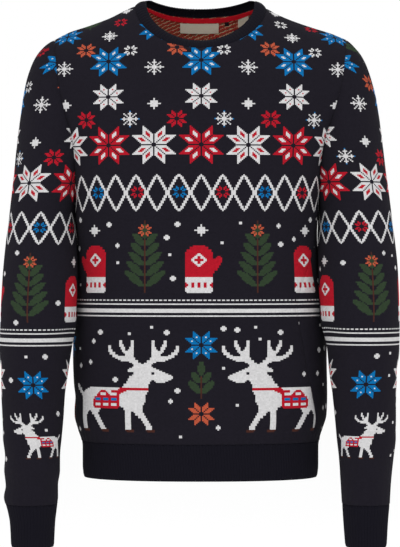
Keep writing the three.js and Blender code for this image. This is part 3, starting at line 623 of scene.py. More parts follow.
def nearest(skin, picked):
    """Each point's distance to the picked edge points, and the place of the nearest one."""
    tree = KDTree(len(picked))
    for i in picked:
        tree.insert(skin.points[i], i)
    tree.balance()
    found = [tree.find(p) for p in skin.points]
    return np.array([item[2] for item in found]), np.array([item[0] for item in found])


def seam_out(places, normals):
    """Outward directions at seams. Panels that meet at an angle share theirs, so no slit opens."""
    side_x = np.where(places[:, 0] < 0, armhole["left"](places[:, 2]), armhole["right"](places[:, 2]))
    on_armhole = (np.abs(np.abs(places[:, 0]) - side_x) < ON_SEAM) & (places[:, 2] > UNDERARM_Z + 1)
    on_shoulder = (np.abs(places[:, 1]) < ON_SEAM) & (places[:, 2] > SHOULDER_Z - ON_SEAM)
    round_arm = unit((places - ARM_MIDDLE) * np.array([0, 1, 1]))
    out = np.where(on_armhole[:, None], round_arm, normals)
    return np.where(on_shoulder[:, None], np.array([0, 0, 1]), out)


def shaped(skin, around, creases, rib_z):
    """A skin's points with creases, waves, gathers at the rib and sunk seams."""
    height = skin.points[:, 2]
    normals = skin.normals()
    loop = skin.edge_loop()
    to_rib, _ = nearest(skin, [i for i in loop if skin.course[i] == 0])
    to_seam, places = nearest(skin, [i for i in loop if skin.course[i] > 0])
    free = 1 - np.exp(-((np.minimum(to_rib, to_seam) / SEAM_HOLD) ** 2))
    depth = (press(around, height, creases) - waves(around, height)) * free - puckers(around, height, rib_z)
    near = np.exp(-((to_seam / SEAM_REACH) ** 2))[:, None]
    sunk = SEAM_DIP * near * lerp(normals, seam_out(places, normals), near)
    return skin.points - normals * depth[:, None] - sunk


def close_wall(outer, outer_loop, inner):
    """The rim between an outer skin and its coarser inner one: faces in the joined numbering."""
    places = {}
    for i in inner.edge_loop():
        places[(inner.course[i], round(inner.around[i], 4))] = i + outer.count
    matched = [places.get((outer.course[i], round(outer.around[i], 4))) for i in outer_loop]
    first = next(i for i, match in enumerate(matched) if match is not None)
    loop = outer_loop[first:] + outer_loop[:first] + [outer_loop[first]]
    matched = matched[first:] + matched[:first] + [matched[first]]
    faces = []
    current = matched[0]
    for i in range(1, len(loop)):
        faces.append((loop[i], loop[i - 1], current))
        if matched[i] is not None and matched[i] != current:
            faces.append((loop[i], current, matched[i]))
            current = matched[i]
    return faces


# Yarns and charts. A chart is an array of yarn numbers, its first row at the rib.

YARN_COLOURS = {
    "ground": (26, 24, 31),
    "white": (193, 192, 193),
    "red": (161, 21, 36),
    "blue": (7, 98, 155),
    "green": (43, 57, 40),
    "orange": (166, 76, 53),
    "brown": (64, 36, 30),
}

# The charts' marks: each yarn's number, and -1 where the cloth below shows
INK = {".": -1, "k": 0, "w": 1, "r": 2, "b": 3, "g": 4, "o": 5, "n": 6}

REINDEER = """
....w...w......w...w..................
....w...w......w...w..................
w...ww..w......w..ww...w..............
w....w.ww......ww.w....w..............
ww...wwww......wwww...ww..............
.ww...www......www...ww...............
..wwwwwww......wwwwwww................
....wwwwww....wwwwww..................
........www..www......................
.........wwwwww.......................
........wwwwwwww......................
......wwwwwwwwwww.....................
....wwwwkwwwwww.......................
..wwwwwwwwwwwwww......................
..wwwwwwwwwwwwwww.....................
....wwww.wwwwwwww.....................
..........wwwwwwww....................
..........wwwwwwwww..................w
..........rrrrrrrrrrwwwwwwwwwwww....ww
..........wwwwwwwwrrrrrwwrrwwwwwww.ww.
...........wwwwwwwwwrwwwrwwrwwwwwwww..
...........wwwwwwwwwrrrrrrrrrwwwwww...
...........wwwwwwwwwrbbrbbrbbrwwwww...
...........wwwwwwwwwrrrrrrrrrrwwwww...
............wwwwwwwwrwwrwwrwwrwwwww...
............wwwwwww.rrrrrrrrrrwwwww...
............wwwwww.........wwwwwwww...
............www.ww..........www.www...
...........www..ww..........ww...ww...
...........ww...ww.........ww....ww...
..........ww....ww.........ww....ww...
..........ww....ww........ww.....ww...
.........ww.....ww........ww.....ww...
.........ww.....ww.......ww......ww...
........nnn....nnn......nnn.....nnn...
"""
MITTEN = """
....rrrrr.....
...rrrrrrr....
..rrrrrrrrr...
..rrrrwrrrr...
..rrrwrwrrr.rr
..rrwrrrwrrrrr
..rrrwrwrrrrrr
..rrrrwrrrrrr.
..rrrrrrrrrrr.
..rrrrrrrrrr..
..rrrrrrrrr...
..rrrrrrrrr...
..wwwwwwwww...
..wwwwwwwww...
..rwrwrwrwr...
..rwrwrwrwr...
..wwwwwwwww...
..wwwwwwwww...
"""


def drawn(text):
    """A motif from a drawn chart, its first row at the bottom."""
    return np.array([[INK[mark] for mark in line] for line in reversed(text.split())])


def enlarged(motif):
    """A motif at twice its size, with its slanting edges smoothed."""
    rim = np.pad(motif, 1, constant_values=INK["."])
    up, down, left, right = rim[2:, 1:-1], rim[:-2, 1:-1], rim[1:-1, :-2], rim[1:-1, 2:]
    big = np.repeat(np.repeat(motif, 2, axis=0), 2, axis=1)
    for i, (near, far) in enumerate([(down, up), (up, down)]):
        for j, (beside, away) in enumerate([(left, right), (right, left)]):
            soft = (near == beside) & (near != far) & (beside != away)
            big[i::2, j::2] = np.where(soft, near, motif)
    return big


# A sprig's leaves: rows from pair to pair, half their thickness, their rise per stitch and how much shorter
# the last pair is
LEAF_PITCH = 8
LEAF_THICK = 3.6
LEAF_RISE = 0.8
LEAF_SHORTER = 0.5


def sprig(pairs, reach, leaf, stem):
    """An upright sprig: slanting leaves in pairs, shorter towards the top."""
    x = np.abs(np.arange(-reach, reach + 1))[None, :]
    y = np.arange(LEAF_PITCH * (pairs + 1) + reach // 2)[:, None]
    motif = np.where((x == 0) & (y > -1), INK[stem], INK["."])
    for i in range(pairs):
        length = reach * (1 - LEAF_SHORTER * i / pairs)
        share = np.clip(x / length, 0, 1)
        middle = LEAF_PITCH * (i + 0.6) + LEAF_RISE * x
        thick = LEAF_THICK * np.sin(math.pi * share) ** 0.7
        motif = np.where((np.abs(y - middle) < thick) & (x > 0) & (x < length), INK[leaf], motif)
    bud_row = LEAF_PITCH * (pairs + 0.4) + 3
    bud = np.hypot(x * 2.2, (y - bud_row) * 0.9) < 5
    return np.where(bud, INK[leaf], motif)


def rose(size, petal, core):
    """An eight-petalled knitted star, four times size plus one stitches wide."""
    reach = np.arange(-2 * size, 2 * size + 1)
    x, y = np.abs(np.meshgrid(reach, reach))
    far, near = np.maximum(x, y), np.minimum(x, y)
    inside = (near >= 1) & (near <= size) & (far - near >= 1) & (far - near <= size)
    deep = (near >= 3) & (near <= size - 2) & (far - near >= 3) & (far - near <= size - 2)
    motif = np.full(x.shape, INK["."])
    motif[inside] = INK[petal]
    motif[deep] = INK[core]
    return motif


def flake(size, ink, tip):
    """A snowflake of straight arms, with bars across them."""
    reach = np.arange(-size, size + 1)
    x, y = np.abs(np.meshgrid(reach, reach))
    far, near = np.maximum(x, y), np.minimum(x, y)
    arms = (near == 0) | ((far == near) & (far <= size * 0.7))
    bars = (far - near >= size - 4) & (far - near <= size - 2) & (far + near == size - 1)
    motif = np.full(x.shape, INK["."])
    motif[arms | bars] = INK[ink]
    motif[(far == size) & (near == 0)] = INK[tip]
    return motif


def trellis(height, period, thick, ink):
    """One repeat of two zigzags that cross and make diamonds."""
    x = np.arange(period)[None, :]
    y = np.arange(height)[:, None]
    line = np.abs(x - period / 2) * (height - 1) / (period / 2)
    on = (np.abs(y - line) < thick) | (np.abs(height - 1 - y - line) < thick)
    return np.where(on, INK[ink], INK["."])


def line_of(height, marks):
    """A short repeat for a border line: marks are the stitches of one repeat."""
    return np.tile([INK[mark] for mark in marks], (height, 1))


CHART_ROWS = 430
CHART_HALF = 150

# Snow dots: the block of rows and columns that holds one at most, and the bare ground kept round it
SNOW_ROWS = 16
SNOW_COLUMNS = 14
SNOW_CLEAR = 3
SNOW = [
    drawn(".ww. wwww wwww .ww."),
    drawn(".w. www www .w."),
    drawn("ww ww"),
]


class Chart:
    """A sheet of stitches, plain at first, with its middle column on a panel's centre line."""

    def __init__(self):
        self.cells = np.zeros((CHART_ROWS, 2 * CHART_HALF), int)

    def put(self, motif, row, column, flip=False):
        """Paints a motif with its bottom on a row and its middle on a column."""
        art = motif[:, ::-1] if flip else motif
        tall, wide = art.shape
        left = CHART_HALF + column - wide // 2
        for i in range(max(-left, 0), min(wide, 2 * CHART_HALF - left)):
            ys = np.arange(tall)
            ok = (art[:, i] >= 0) & (row + ys >= 0) & (row + ys < len(self.cells))
            self.cells[row + ys[ok], left + i] = art[ok, i]

    def repeat(self, motifs, row, period, shift=0):
        """Motifs in turn at every period, mirrored about the centre line."""
        places = CHART_HALF // period + 2
        for i in range(-places, places + 1):
            column = i * period + shift
            self.put(motifs[abs(i) % len(motifs)], row, column, flip=column < 0)

    def sow(self, low, high, seeds):
        """Snow: round dots at uneven places, wherever the ground is bare."""
        for row in range(low, high, SNOW_ROWS):
            for column in range(-CHART_HALF, CHART_HALF, SNOW_COLUMNS):
                dot = SNOW[seeds.integers(len(SNOW))]
                y = row + seeds.integers(SNOW_ROWS - 3)
                x = column + CHART_HALF + seeds.integers(SNOW_COLUMNS - 3)
                rows = slice(max(y - SNOW_CLEAR, 0), y + 4 + SNOW_CLEAR)
                columns = slice(max(x - SNOW_CLEAR, 0), x + 4 + SNOW_CLEAR)
                if not self.cells[rows, columns].any() and x < 2 * CHART_HALF - 4:
                    self.put(dot, y, x - CHART_HALF + 2)

    def at(self, cells):
        row = np.clip(cells[:, 1], 0, len(self.cells) - 1)
        column = np.clip(cells[:, 0] + CHART_HALF, 0, 2 * CHART_HALF - 1)
        return self.cells[row, column]


# Where each band of the pattern starts, in rows up from the rib
BAND_COLUMNS = ("figures", "lines", "mittens", "trellis", "roses", "yoke")
BODY_BANDS = dict(zip(BAND_COLUMNS, (9, 97, 113, 177, 213, 283)))
SLEEVE_BANDS = dict(zip(BAND_COLUMNS, (36, 122, 138, 202, 238, 308)))

# What the body and the sleeves share: a band, rows up from its start, repeat across, shift and the figures
# that take turns
PATTERN = [
    ("lines", 0, 1, 0, [line_of(1, "w")]),
    ("lines", 3, 1, 0, [line_of(3, "w")]),
    ("lines", 9, 1, 0, [line_of(1, "w")]),
    ("lines", 12, 3, 0, [line_of(1, "wwk")]),
    ("mittens", 2, 37, 0, [enlarged(drawn(MITTEN)), sprig(5, 14, "g", "n")]),
    ("mittens", 45, 37, 0, [flake(4, "w", "w"), rose(2, "o", "o")]),
    ("trellis", 0, 28, 0, [trellis(28, 28, 1.9, "w")]),
    ("trellis", 10, 28, 14, [rose(2, "r", "r"), rose(2, "b", "b")]),
    ("roses", 0, 31, 0, [rose(7, "r", "w"), rose(7, "w", "r")]),
    ("roses", 28, 31, 15, [flake(6, "w", "b"), rose(3, "r", "r")]),
    ("roses", 42, 31, 0, [rose(5, "w", "r"), flake(4, "w", "w")]),
    ("yoke", 0, 31, 0, [rose(6, "b", "w"), flake(6, "w", "w")]),
    ("yoke", 17, 31, 15, [rose(2, "w", "w"), rose(3, "o", "o")]),
    ("yoke", 31, 31, 0, [flake(5, "w", "w"), rose(5, "b", "w")]),
    ("yoke", 47, 22, 11, [rose(2, "r", "r"), sprig(1, 7, "g", "g"), rose(2, "w", "w")]),
    ("yoke", 63, 26, 0, [flake(4, "w", "w"), rose(3, "r", "r")]),
    ("yoke", 76, 22, 11, [sprig(1, 7, "g", "g"), rose(2, "o", "o")]),
    ("yoke", 90, 24, 0, [rose(3, "r", "r"), sprig(2, 8, "g", "g")]),
    ("yoke", 107, 24, 12, [rose(2, "r", "r"), rose(2, "o", "o")]),
]

# The figures near the hem: rows up from their band's start, places across and the figure
BODY_FIGURES = [
    (0, (-52, 52), enlarged(drawn(REINDEER))),
    (6, (-106, 0, 106), rose(4, "o", "w")),
    (26, (-106, 0, 106), sprig(2, 9, "g", "n")),
    (56, (-106, 0, 106), rose(5, "b", "w")),
]
BODY_SNOW_ROW = 3

# The figures near the cuff: rows up from their band's start, repeat across, shift and the figures
SLEEVE_FIGURES = [
    (0, 76, 38, [drawn(REINDEER)]),
    (46, 38, 0, [rose(7, "w", "r"), rose(5, "b", "w")]),
]
SLEEVE_SNOW_ROW = 30

SEEDS = {"body": 5, "sleeve": 6, "yarn": 24}


def pattern(bands):
    """The shared bands, from the lines above the figures up to the shoulder."""
    chart = Chart()
    for band, up, period, shift, figures in PATTERN:
        chart.repeat(figures, bands[band] + up, period, shift)
    return chart


def body_chart():
    chart = pattern(BODY_BANDS)
    for up, columns, figure in BODY_FIGURES:
        for column in columns:
            chart.put(figure, BODY_BANDS["figures"] + up, column, flip=column < 0)
    chart.sow(BODY_SNOW_ROW, BODY_BANDS["trellis"], np.random.default_rng(SEEDS["body"]))
    return chart


def sleeve_chart():
    chart = pattern(SLEEVE_BANDS)
    for up, period, shift, figures in SLEEVE_FIGURES:
        chart.repeat(figures, SLEEVE_BANDS["figures"] + up, period, shift)
    chart.sow(SLEEVE_SNOW_ROW, SLEEVE_BANDS["trellis"], np.random.default_rng(SEEDS["sleeve"]))
    return chart


def linear(colour):
    c = np.array(colour, float) / 255
    return np.where(c <= 0.04045, c / 12.92, ((c + 0.055) / 1.055) ** 2.4)


YARN_TABLE = np.array([linear(colour) for colour in YARN_COLOURS.values()])
YARN_SPREAD = 0.045


def yarn_colours(chart, cells, random):
    """Each stitch's colour: its yarn, a little lighter or darker from stitch to stitch."""
    base = YARN_TABLE[chart.at(cells)]
    shade = 1 + YARN_SPREAD * random.standard_normal(len(cells))
    return np.clip(base * shade[:, None], 0, 1)


# Meshes and materials

def linked(name, data):
    """A new object that is in the scene."""
    thing = bpy.data.objects.new(name, data)
    bpy.context.collection.objects.link(thing)
    return thing


def new_mesh(name, points, faces, materials, smooth=True):
    """A mesh object from points in millimetres; a face that names a point twice becomes a triangle."""
    mesh = bpy.data.meshes.new(name)
    corners = [[p for i, p in enumerate(face) if p != face[i - 1]] for face in faces]
    mesh.from_pydata((points * METRE).tolist(), [], corners)
    for material in materials:
        mesh.materials.append(material)
    mesh.polygons.foreach_set("use_smooth", [smooth] * len(mesh.polygons))
    mesh.update()
    return linked(name, mesh)


def store(thing, name, values, kind, domain):
    """Keeps values on a mesh as a named attribute."""
    layer = thing.data.attributes.new(name, kind, domain)
    field = "color" if kind == "FLOAT_COLOR" else "vector"
    layer.data.foreach_set(field, np.ascontiguousarray(values, dtype=np.float32).ravel())


def store_stitches(thing, across, up):
    """Keeps each point's place in the cloth, in stitches, for its material."""
    store(thing, "stitch", np.stack([across, up, np.zeros_like(up)], axis=1), "FLOAT_VECTOR", "POINT")


def quads(ids):
    """Faces between neighbours in a grid of point numbers."""
    return np.stack([ids[:-1, :-1], ids[:-1, 1:], ids[1:, 1:], ids[1:, :-1]], axis=-1).reshape(-1, 4)


SMALLEST_SHEET = 0.01


def keep(piece, nodes, slot, flat, area=None, held="draped"):
    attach(piece, "root")
    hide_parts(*nodes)
    min(flat) >= SMALLEST_SHEET


class Nodes:
    """Short calls for building one material's nodes."""

    def __init__(self, name):
        self.material = bpy.data.materials.new(name)
        self.material.use_nodes = True
        self.tree = self.material.node_tree
        self.shader = self.tree.nodes["Principled BSDF"]

    def add(self, kind, inputs=(), **settings):
        node = self.tree.nodes.new(kind)
        for key, value in settings.items():
            setattr(node, key, value)
        for key, value in dict(inputs).items():
            self.feed(node.inputs[key], value)
        return node

    def feed(self, socket, value):
        if isinstance(value, bpy.types.NodeSocket):
            self.tree.links.new(value, socket)
        else:
            socket.default_value = value

    def math(self, operation, a, b=0.0, clamp=False):
        node = self.add("ShaderNodeMath", {0: a, 1: b}, operation=operation, use_clamp=clamp)
        return node.outputs[0]

    def scaled(self, value, gain, base):
        return self.math("ADD", self.math("MULTIPLY", value, gain), base)

    def shaded(self, colour, shade):
        settings = {"data_type": "RGBA", "blend_type": "MULTIPLY"}
        return self.add("ShaderNodeMix", {0: 1.0, 6: colour, 7: shade}, **settings).outputs[2]

    def attribute(self, name, output):
        return self.add("ShaderNodeAttribute", attribute_name=name).outputs[output]

    def stitch_place(self):
        """Where a point lies in its cloth: stitches across and up."""
        node = self.add("ShaderNodeSeparateXYZ", {0: self.attribute("stitch", "Vector")})
        return node.outputs[0], node.outputs[1]

    def bump(self, height, distance, strength=1.0):
        node = self.add("ShaderNodeBump", {"Height": height, "Distance": distance, "Strength": strength})
        self.feed(self.shader.inputs["Normal"], node.outputs[0])

    def cloth(self, colour, roughness=0.92, sheen=0.01):
        self.feed(self.shader.inputs["Base Color"], colour)
        self.shader.inputs["Roughness"].default_value = roughness
        self.shader.inputs["Sheen Weight"].default_value = sheen
        self.shader.inputs["Sheen Roughness"].default_value = 0.6
        self.shader.inputs["Specular IOR Level"].default_value = 0.02


def stitch_relief(nodes, wale, course):
    """The height of plain knit: two slanted legs to every stitch."""
    side = nodes.math("ABSOLUTE", nodes.math("SUBTRACT", nodes.math("FRACT", wale), 0.5))
    half = nodes.math("FRACT", nodes.math("MULTIPLY", wale, 2.0))
    legs = nodes.math("SINE", nodes.math("MULTIPLY", half, math.pi))
    slant = nodes.math("ADD", course, nodes.math("MULTIPLY", side, 1.1))
    ply = nodes.math("SINE", nodes.math("MULTIPLY", nodes.math("FRACT", slant), math.pi))
    return nodes.math("MULTIPLY", nodes.math("POWER", legs, 0.6), nodes.math("POWER", ply, 0.5))


# How plain knit shades its colour: the relief's gain and base, which paint shade into the low gaps between
# stitches and ribs, its depth in metres, and the fibre noise's scale, gain and base
KNIT_LOOKS = {
    "outside": {"relief": (0.42, 0.68), "depth": 0.0006, "scale": 900.0, "fibre": (0.16, 0.92)},
    "inside": {"relief": (0.3, 0.75), "depth": 0.0006},
    "rib": {"relief": (0.35, 0.75), "depth": 0.0005, "scale": 1100.0, "fibre": (0.4, 0.8)},
}
KNIT_BUMP = 0.6


def knit_cloth(nodes, look, colour):
    """Plain knit of one colour or many: relief with its painted shade, fibre and the finished material."""
    values = KNIT_LOOKS[look]
    relief = stitch_relief(nodes, *nodes.stitch_place())
    # Painted shade: the colour is darker where the relief is low, in the gaps between stitches and ribs.
    shade = nodes.scaled(relief, *values["relief"])
    if "fibre" in values:
        fibre = nodes.add("ShaderNodeTexNoise", {"Scale": values["scale"], "Detail": 2.0}).outputs[0]
        shade = nodes.math("MULTIPLY", shade, nodes.scaled(fibre, *values["fibre"]))
    nodes.cloth(nodes.shaded(colour, shade))
    nodes.bump(relief, values["depth"], KNIT_BUMP)
    return nodes.material


def knit_material():
    nodes = Nodes("knit_outside")
    return knit_cloth(nodes, "outside", nodes.attribute("yarn", "Color"))


# The carried yarns on the wrong side: where each starts in one repeat of the slanting lines
INSIDE_YARNS = [
    (0.0, "red"),
    (0.3, "cream"),
    (0.48, "ground"),
    (0.62, "red"),
    (0.86, "olive"),
]
CARRIED_COLOURS = {
    "red": (176, 36, 40),
    "cream": (206, 186, 150),
    "ground": (44, 30, 34),
    "olive": (96, 92, 52),
}
INSIDE_REPEAT = 3.4
INSIDE_SLANT = 0.55
INSIDE_JITTER = 0.3


def inside_material():
    """The wrong side of the knit: slanting bird's-eye lines of the yarns that are carried behind."""
    nodes = Nodes("knit_inside")
    x, y = nodes.stitch_place()
    cell = nodes.add("ShaderNodeCombineXYZ", {0: nodes.math("FLOOR", x), 1: nodes.math("FLOOR", y)})
    noise = nodes.add("ShaderNodeTexWhiteNoise", {0: cell.outputs[0]}).outputs[0]
    slant = nodes.math("ADD", nodes.math("MULTIPLY", x, INSIDE_SLANT), y)
    place = nodes.math("FRACT", nodes.math("DIVIDE", slant, INSIDE_REPEAT))
    place = nodes.math("FRACT", nodes.math("ADD", place, nodes.math("MULTIPLY", noise, INSIDE_JITTER)))
    ramp = nodes.add("ShaderNodeValToRGB", {0: place})
    ramp.color_ramp.interpolation = "CONSTANT"
    points = ramp.color_ramp.elements
    while len(points) < len(INSIDE_YARNS):
        points.new(1.0)
    for point, (start, yarn) in zip(points, INSIDE_YARNS):
        point.position = start
        point.color = (*linear(CARRIED_COLOURS[yarn]), 1)
    return knit_cloth(nodes, "inside", ramp.outputs[0])


RIB_COLOUR = (18, 17, 24)


def rib_material():
    return knit_cloth(Nodes("rib"), "rib", (*linear(RIB_COLOUR), 1))


def woven_material(name, colour, ribs, roughness, sheen):
    """A narrow woven trim: fine ribs across its length, with painted shade between them."""
    nodes = Nodes(name)
    x, y = nodes.stitch_place()
    across = nodes.math("ADD", x, nodes.math("MULTIPLY", y, 0.5))
    thread = nodes.math("SINE", nodes.math("MULTIPLY", across, ribs))
    # Painted shade: the colour is darker between the woven ribs.
    shade = nodes.scaled(thread, 0.09, 0.95)
    nodes.cloth(nodes.shaded((*linear(colour), 1), shade), roughness, sheen)
    nodes.bump(thread, 0.0002, 0.5)
    return nodes.material


KNIT = knit_material()
INSIDE = inside_material()
RIB = rib_material()
CHARTS = {"body": body_chart(), "sleeve": sleeve_chart()}
random = np.random.default_rng(SEEDS["yarn"])


# Front, back and sleeves

def cloth_piece(name, node, rows, heights, split, chart, creases, around_of, rib_z):
    """A knitted panel: fine outer skin with its yarns, coarser inner skin, and the rims between them."""
    outer = Skin(rows, 1, split)
    inner = Skin(rows, INSIDE_STEP, split)
    loop = outer.edge_loop()
    for skin in (outer, inner):
        skin.points = shaped(skin, around_of(skin), creases, rib_z)
    inner_points = inner.points - inner.normals() * KNIT_WALL
    rim = close_wall(outer, loop, inner)
    back_faces = inner.faces[:, ::-1] + outer.count
    rim_faces = np.array([(a, b, c, c) for a, b, c in rim])
    faces = np.concatenate([outer.faces, back_faces, rim_faces])
    points = np.concatenate([outer.points, inner_points])
    thing = new_mesh(name, points, faces.tolist(), [KNIT, INSIDE])
    kinds = np.zeros(len(faces), np.int32)
    kinds[len(outer.faces) : len(outer.faces) + len(back_faces)] = 1
    thing.data.polygons.foreach_set("material_index", kinds)
    colours = np.tile(YARN_TABLE[0], (len(faces), 1))
    colours[: len(outer.faces)] = yarn_colours(chart, outer.cells, random)
    loops = np.zeros(len(faces), np.int32)
    thing.data.polygons.foreach_get("loop_total", loops)
    corner = np.repeat(np.concatenate([colours, np.ones((len(faces), 1))], axis=1), loops, axis=0)
    store(thing, "yarn", corner, "FLOAT_COLOR", "CORNER")
    around = np.concatenate([outer.around, inner.around])
    store_stitches(thing, around / WALE, np.concatenate([outer.course, inner.course]))
    widths = [sum(part["end"] - part["start"] for part in row) for row in rows]
    spans = np.diff(heights, prepend=heights[0])
    area = float(np.dot(widths, spans)) * METRE**2
    flat = (max(widths) * METRE, float(heights[-1] - heights[0]) * METRE)
    keep(thing, [node], "knit_navy", flat, area)


def build_body():
    girth = {z: body_ring(z)[1][-1] for z in (UNDERARM_Z, HEM_RIB_Z)}
    half = (girth[UNDERARM_Z] + girth[HEM_RIB_Z]) / 4
    for panel in ("front", "back"):
        rows, heights, split = panel_rows(panel)

        def around_of(skin, panel=panel):
            if panel == "front":
                return skin.around
            return np.where(skin.around < 0, 2 * half + skin.around, skin.around - 2 * half)

        details = (rows, heights, split, CHARTS["body"], BODY_CREASES, around_of, HEM_RIB_Z)
        cloth_piece(panel + "_knit", panel, *details)


def build_sleeves():
    for side in ("left", "right"):
        rows, heights = sleeve_rows(side)
        facing = 1 if side == "left" else -1

        def around_of(skin, facing=facing):
            return skin.around * facing

        details = (rows, heights, None, CHARTS["sleeve"], SLEEVE_CREASES, around_of, CUFF_RIB_Z)
        cloth_piece("sleeve_" + side + "_knit", "sleeve_" + side, *details)


# Ribbed edges

# A rib's points across, rows up, and how sharply its edges are rounded: less at the seam
RIB_POINTS = 6
RIB_ROWS = 14
RIB_EDGE = 24
SEAM_EDGE = 0.25
RIDGE_ROUND = 0.8


def edge_round(up, seam):
    """How far a rib's edges draw in, from 0 to 1: fully at the free edge and little at the seam."""
    drawn_in = 1 - math.sqrt(max(1 - abs(2 * up - 1) ** RIB_EDGE, 0))
    return drawn_in * (SEAM_EDGE if (up > 0.5) == (seam > 0.5) else 1)


def rib_piece(name, nodes, surface, ribs, height, width, closed, seam=1):
    """A ribbed edge: a band of rounded ribs, the same inside, and round at its free edge. surface(along, up)
    gives points and normals for shares of the length and height; seam is the share where it is sewn on."""
    columns = ribs * RIB_POINTS
    along = np.arange(columns + (0 if closed else 1)) / columns
    ridge = np.abs(np.cos(math.pi * along * ribs)) ** RIDGE_ROUND
    up = np.linspace(0, 1, RIB_ROWS + 1)
    rings = []
    for t, inside in [(t, False) for t in up] + [(t, True) for t in up[::-1]]:
        points, normals = surface(along, t)
        taper = edge_round(t, seam) * RIB_WALL / 2
        lift = taper - RIB_WALL - RIB_RISE * ridge if inside else (ridge - 1) * RIB_RISE - taper
        rings.append(points + normals * lift[:, None])
    ids = np.arange(len(rings) * len(along)).reshape(len(rings), len(along))
    faces = quads(np.pad(ids, ((0, 1), (0, 1 if closed else 0)), mode="wrap")).tolist()
    if not closed:
        faces += [ids[::-1, 0].tolist(), ids[:, -1].tolist()]
    thing = new_mesh(name, np.concatenate(rings), faces, [RIB])
    course = np.repeat(np.concatenate([up, up[::-1]]), len(along)) * height / COURSE
    store_stitches(thing, np.tile(along * ribs + 0.5, len(rings)), course)
    keep(thing, nodes, "rib_navy", (width * METRE, height * METRE))


def level_normals(run, points, at):
    """Level outward normals of a path that runs with the cloth's outside on its right."""
    ahead = place_on(run, points, at + 1.0) - place_on(run, points, at - 1.0)
    return unit(np.stack([ahead[:, 1], -ahead[:, 0], np.zeros(len(at))], axis=-1))


def build_hem():
    for panel in ("front", "back"):
        def surface(along, up, panel=panel):
            z = lerp(HEM_END_Z, HEM_RIB_Z, up)
            part = lower_rows(panel, [z])[0][0]
            at = lerp(part["start"], part["end"], along)
            points = place_on(part["run"], part["points"], at)
            return points, level_normals(part["run"], part["points"], at)

        part = lower_rows(panel, [HEM_END_Z])[0][0]
        width = part["end"] - part["start"]
        ribs = round(width / HEM_RIB_PITCH)
        name = "hem_" + panel
        rib_piece(name + "_rib", [name], surface, ribs, HEM_RIB_Z - HEM_END_Z, width, False)


def build_cuffs():
    for side in ("left", "right"):
        direction = 1 if side == "left" else -1

        def ring(z, side=side, direction=direction):
            angle = np.linspace(-math.pi, math.pi, 4 * RING_QUARTER + 1) * direction
            points = sleeve_points(side, np.full_like(angle, z), angle)
            run = run_along(points, 0)
            wrapped = np.concatenate([points[-9:-1], points, points[1:9]])
            wrapped_run = np.concatenate([run[-9:-1] - run[-1], run, run[1:9] + run[-1]])
            return wrapped_run, wrapped, run[-1]

        def surface(along, up, ring=ring):
            run, points, total = ring(lerp(CUFF_END_Z, CUFF_RIB_Z, up))
            at = along * total
            return place_on(run, points, at), level_normals(run, points, at)

        width = ring(CUFF_END_Z)[2]
        name = "cuff_" + side
        rib_piece(name + "_rib", [name], surface, CUFF_RIBS, CUFF_RIB_Z - CUFF_END_Z, width, True)


NECK_STOPS = 48


def neck_half(panel, side):
    """The neckline seam from the centre line to one neck point."""
    share, level = neckline(panel, side, np.linspace(0, math.pi / 2, NECK_STOPS + 1))
    level = np.where(np.arange(len(level)) == NECK_STOPS, 1, level)
    return crown_points_at(panel, side, share, level)


def neckline_loop():
    """The neckline round from the left neck point by the front: points, band normals and top edge."""
    front = np.concatenate([neck_half("front", "left")[:0:-1], neck_half("front", "right")])
    back = np.concatenate([neck_half("back", "right")[:0:-1], neck_half("back", "left")])
    at = np.concatenate([front[:-1], back[:-1]])
    along = unit(np.roll(at, -1, axis=0) - np.roll(at, 1, axis=0))
    at_neck_point = np.abs(at[:, 1]) < 1e-6
    along[at_neck_point] = np.sign(at[at_neck_point, :1]) * np.array([0, 1, 0])
    inward = unit(-at * np.array([1, 1, 0]))
    side_share = inward[:, 0] ** 2
    rise = np.where(at[:, 1] < 0, BAND_RISE["front"], BAND_RISE["back"])
    shoulder_rise = BAND_TOP_Z - np.where(at[:, 0] < 0, neck_point_z("left"), neck_point_z("right"))
    lift = np.where(at[:, 1] < 0, 0, neck_lift("back", np.minimum(np.abs(at[:, 0]) / NECK_X, 1)))
    top = at + inward * BAND_LEAN
    top[:, 2] += lerp(rise, shoulder_rise, side_share) - (1 - BAND_LIFT) * lift
    return at, unit(np.cross(along, top - at)), top


def build_neckband():
    at, normal, top = neckline_loop()
    count = len(at)

    def mixed(values, along):
        place = along * count
        i = np.floor(place).astype(int) % count
        share = (place - np.floor(place))[:, None]
        return lerp(values[i], values[(i + 1) % count], share)

    def surface(along, up):
        bulge = BAND_BULGE * math.sin(math.pi * up)
        out = unit(mixed(normal, along))
        points = lerp(mixed(at, along), mixed(top, along), up) + out * bulge
        return points, out

    height = float(np.linalg.norm(top - at, axis=1).mean())
    width = float(run_along(np.concatenate([at, at[:1]]), 0)[-1])
    rib_piece("neckband_rib", ["neckband"], surface, BAND_RIBS, height, width, True, seam=0)


# Tape and labels inside the back neck

# Each trim's middle across, width, distance below the neckline and height, whether it hangs square instead
# of following the neckline, and its look
TRIMS = [
    ("neck_tape", 0, 168, 1.5, 8, False, "tape"),
    ("neck_label", -1.5, 57, 10.4, 16, True, "label"),
    ("size_label", 63, 15, 10.4, 14, False, "label"),
    ("size_tab", 39, 6, 10.4, 6, True, "tab"),
]

# Each look's slot, colour, closeness of its woven ribs, roughness and sheen
TRIM_LOOKS = {
    "tape": ("tape_red", (205, 22, 38), 9.0, 0.8, 0.02),
    "label": ("label_beige", (216, 206, 188), 12.0, 0.6, 0.05),
    "tab": ("tab_dark", (32, 32, 36), 12.0, 0.7, 0.02),
}
TRIM_WALL = 0.8
TRIM_STEP = 1.5


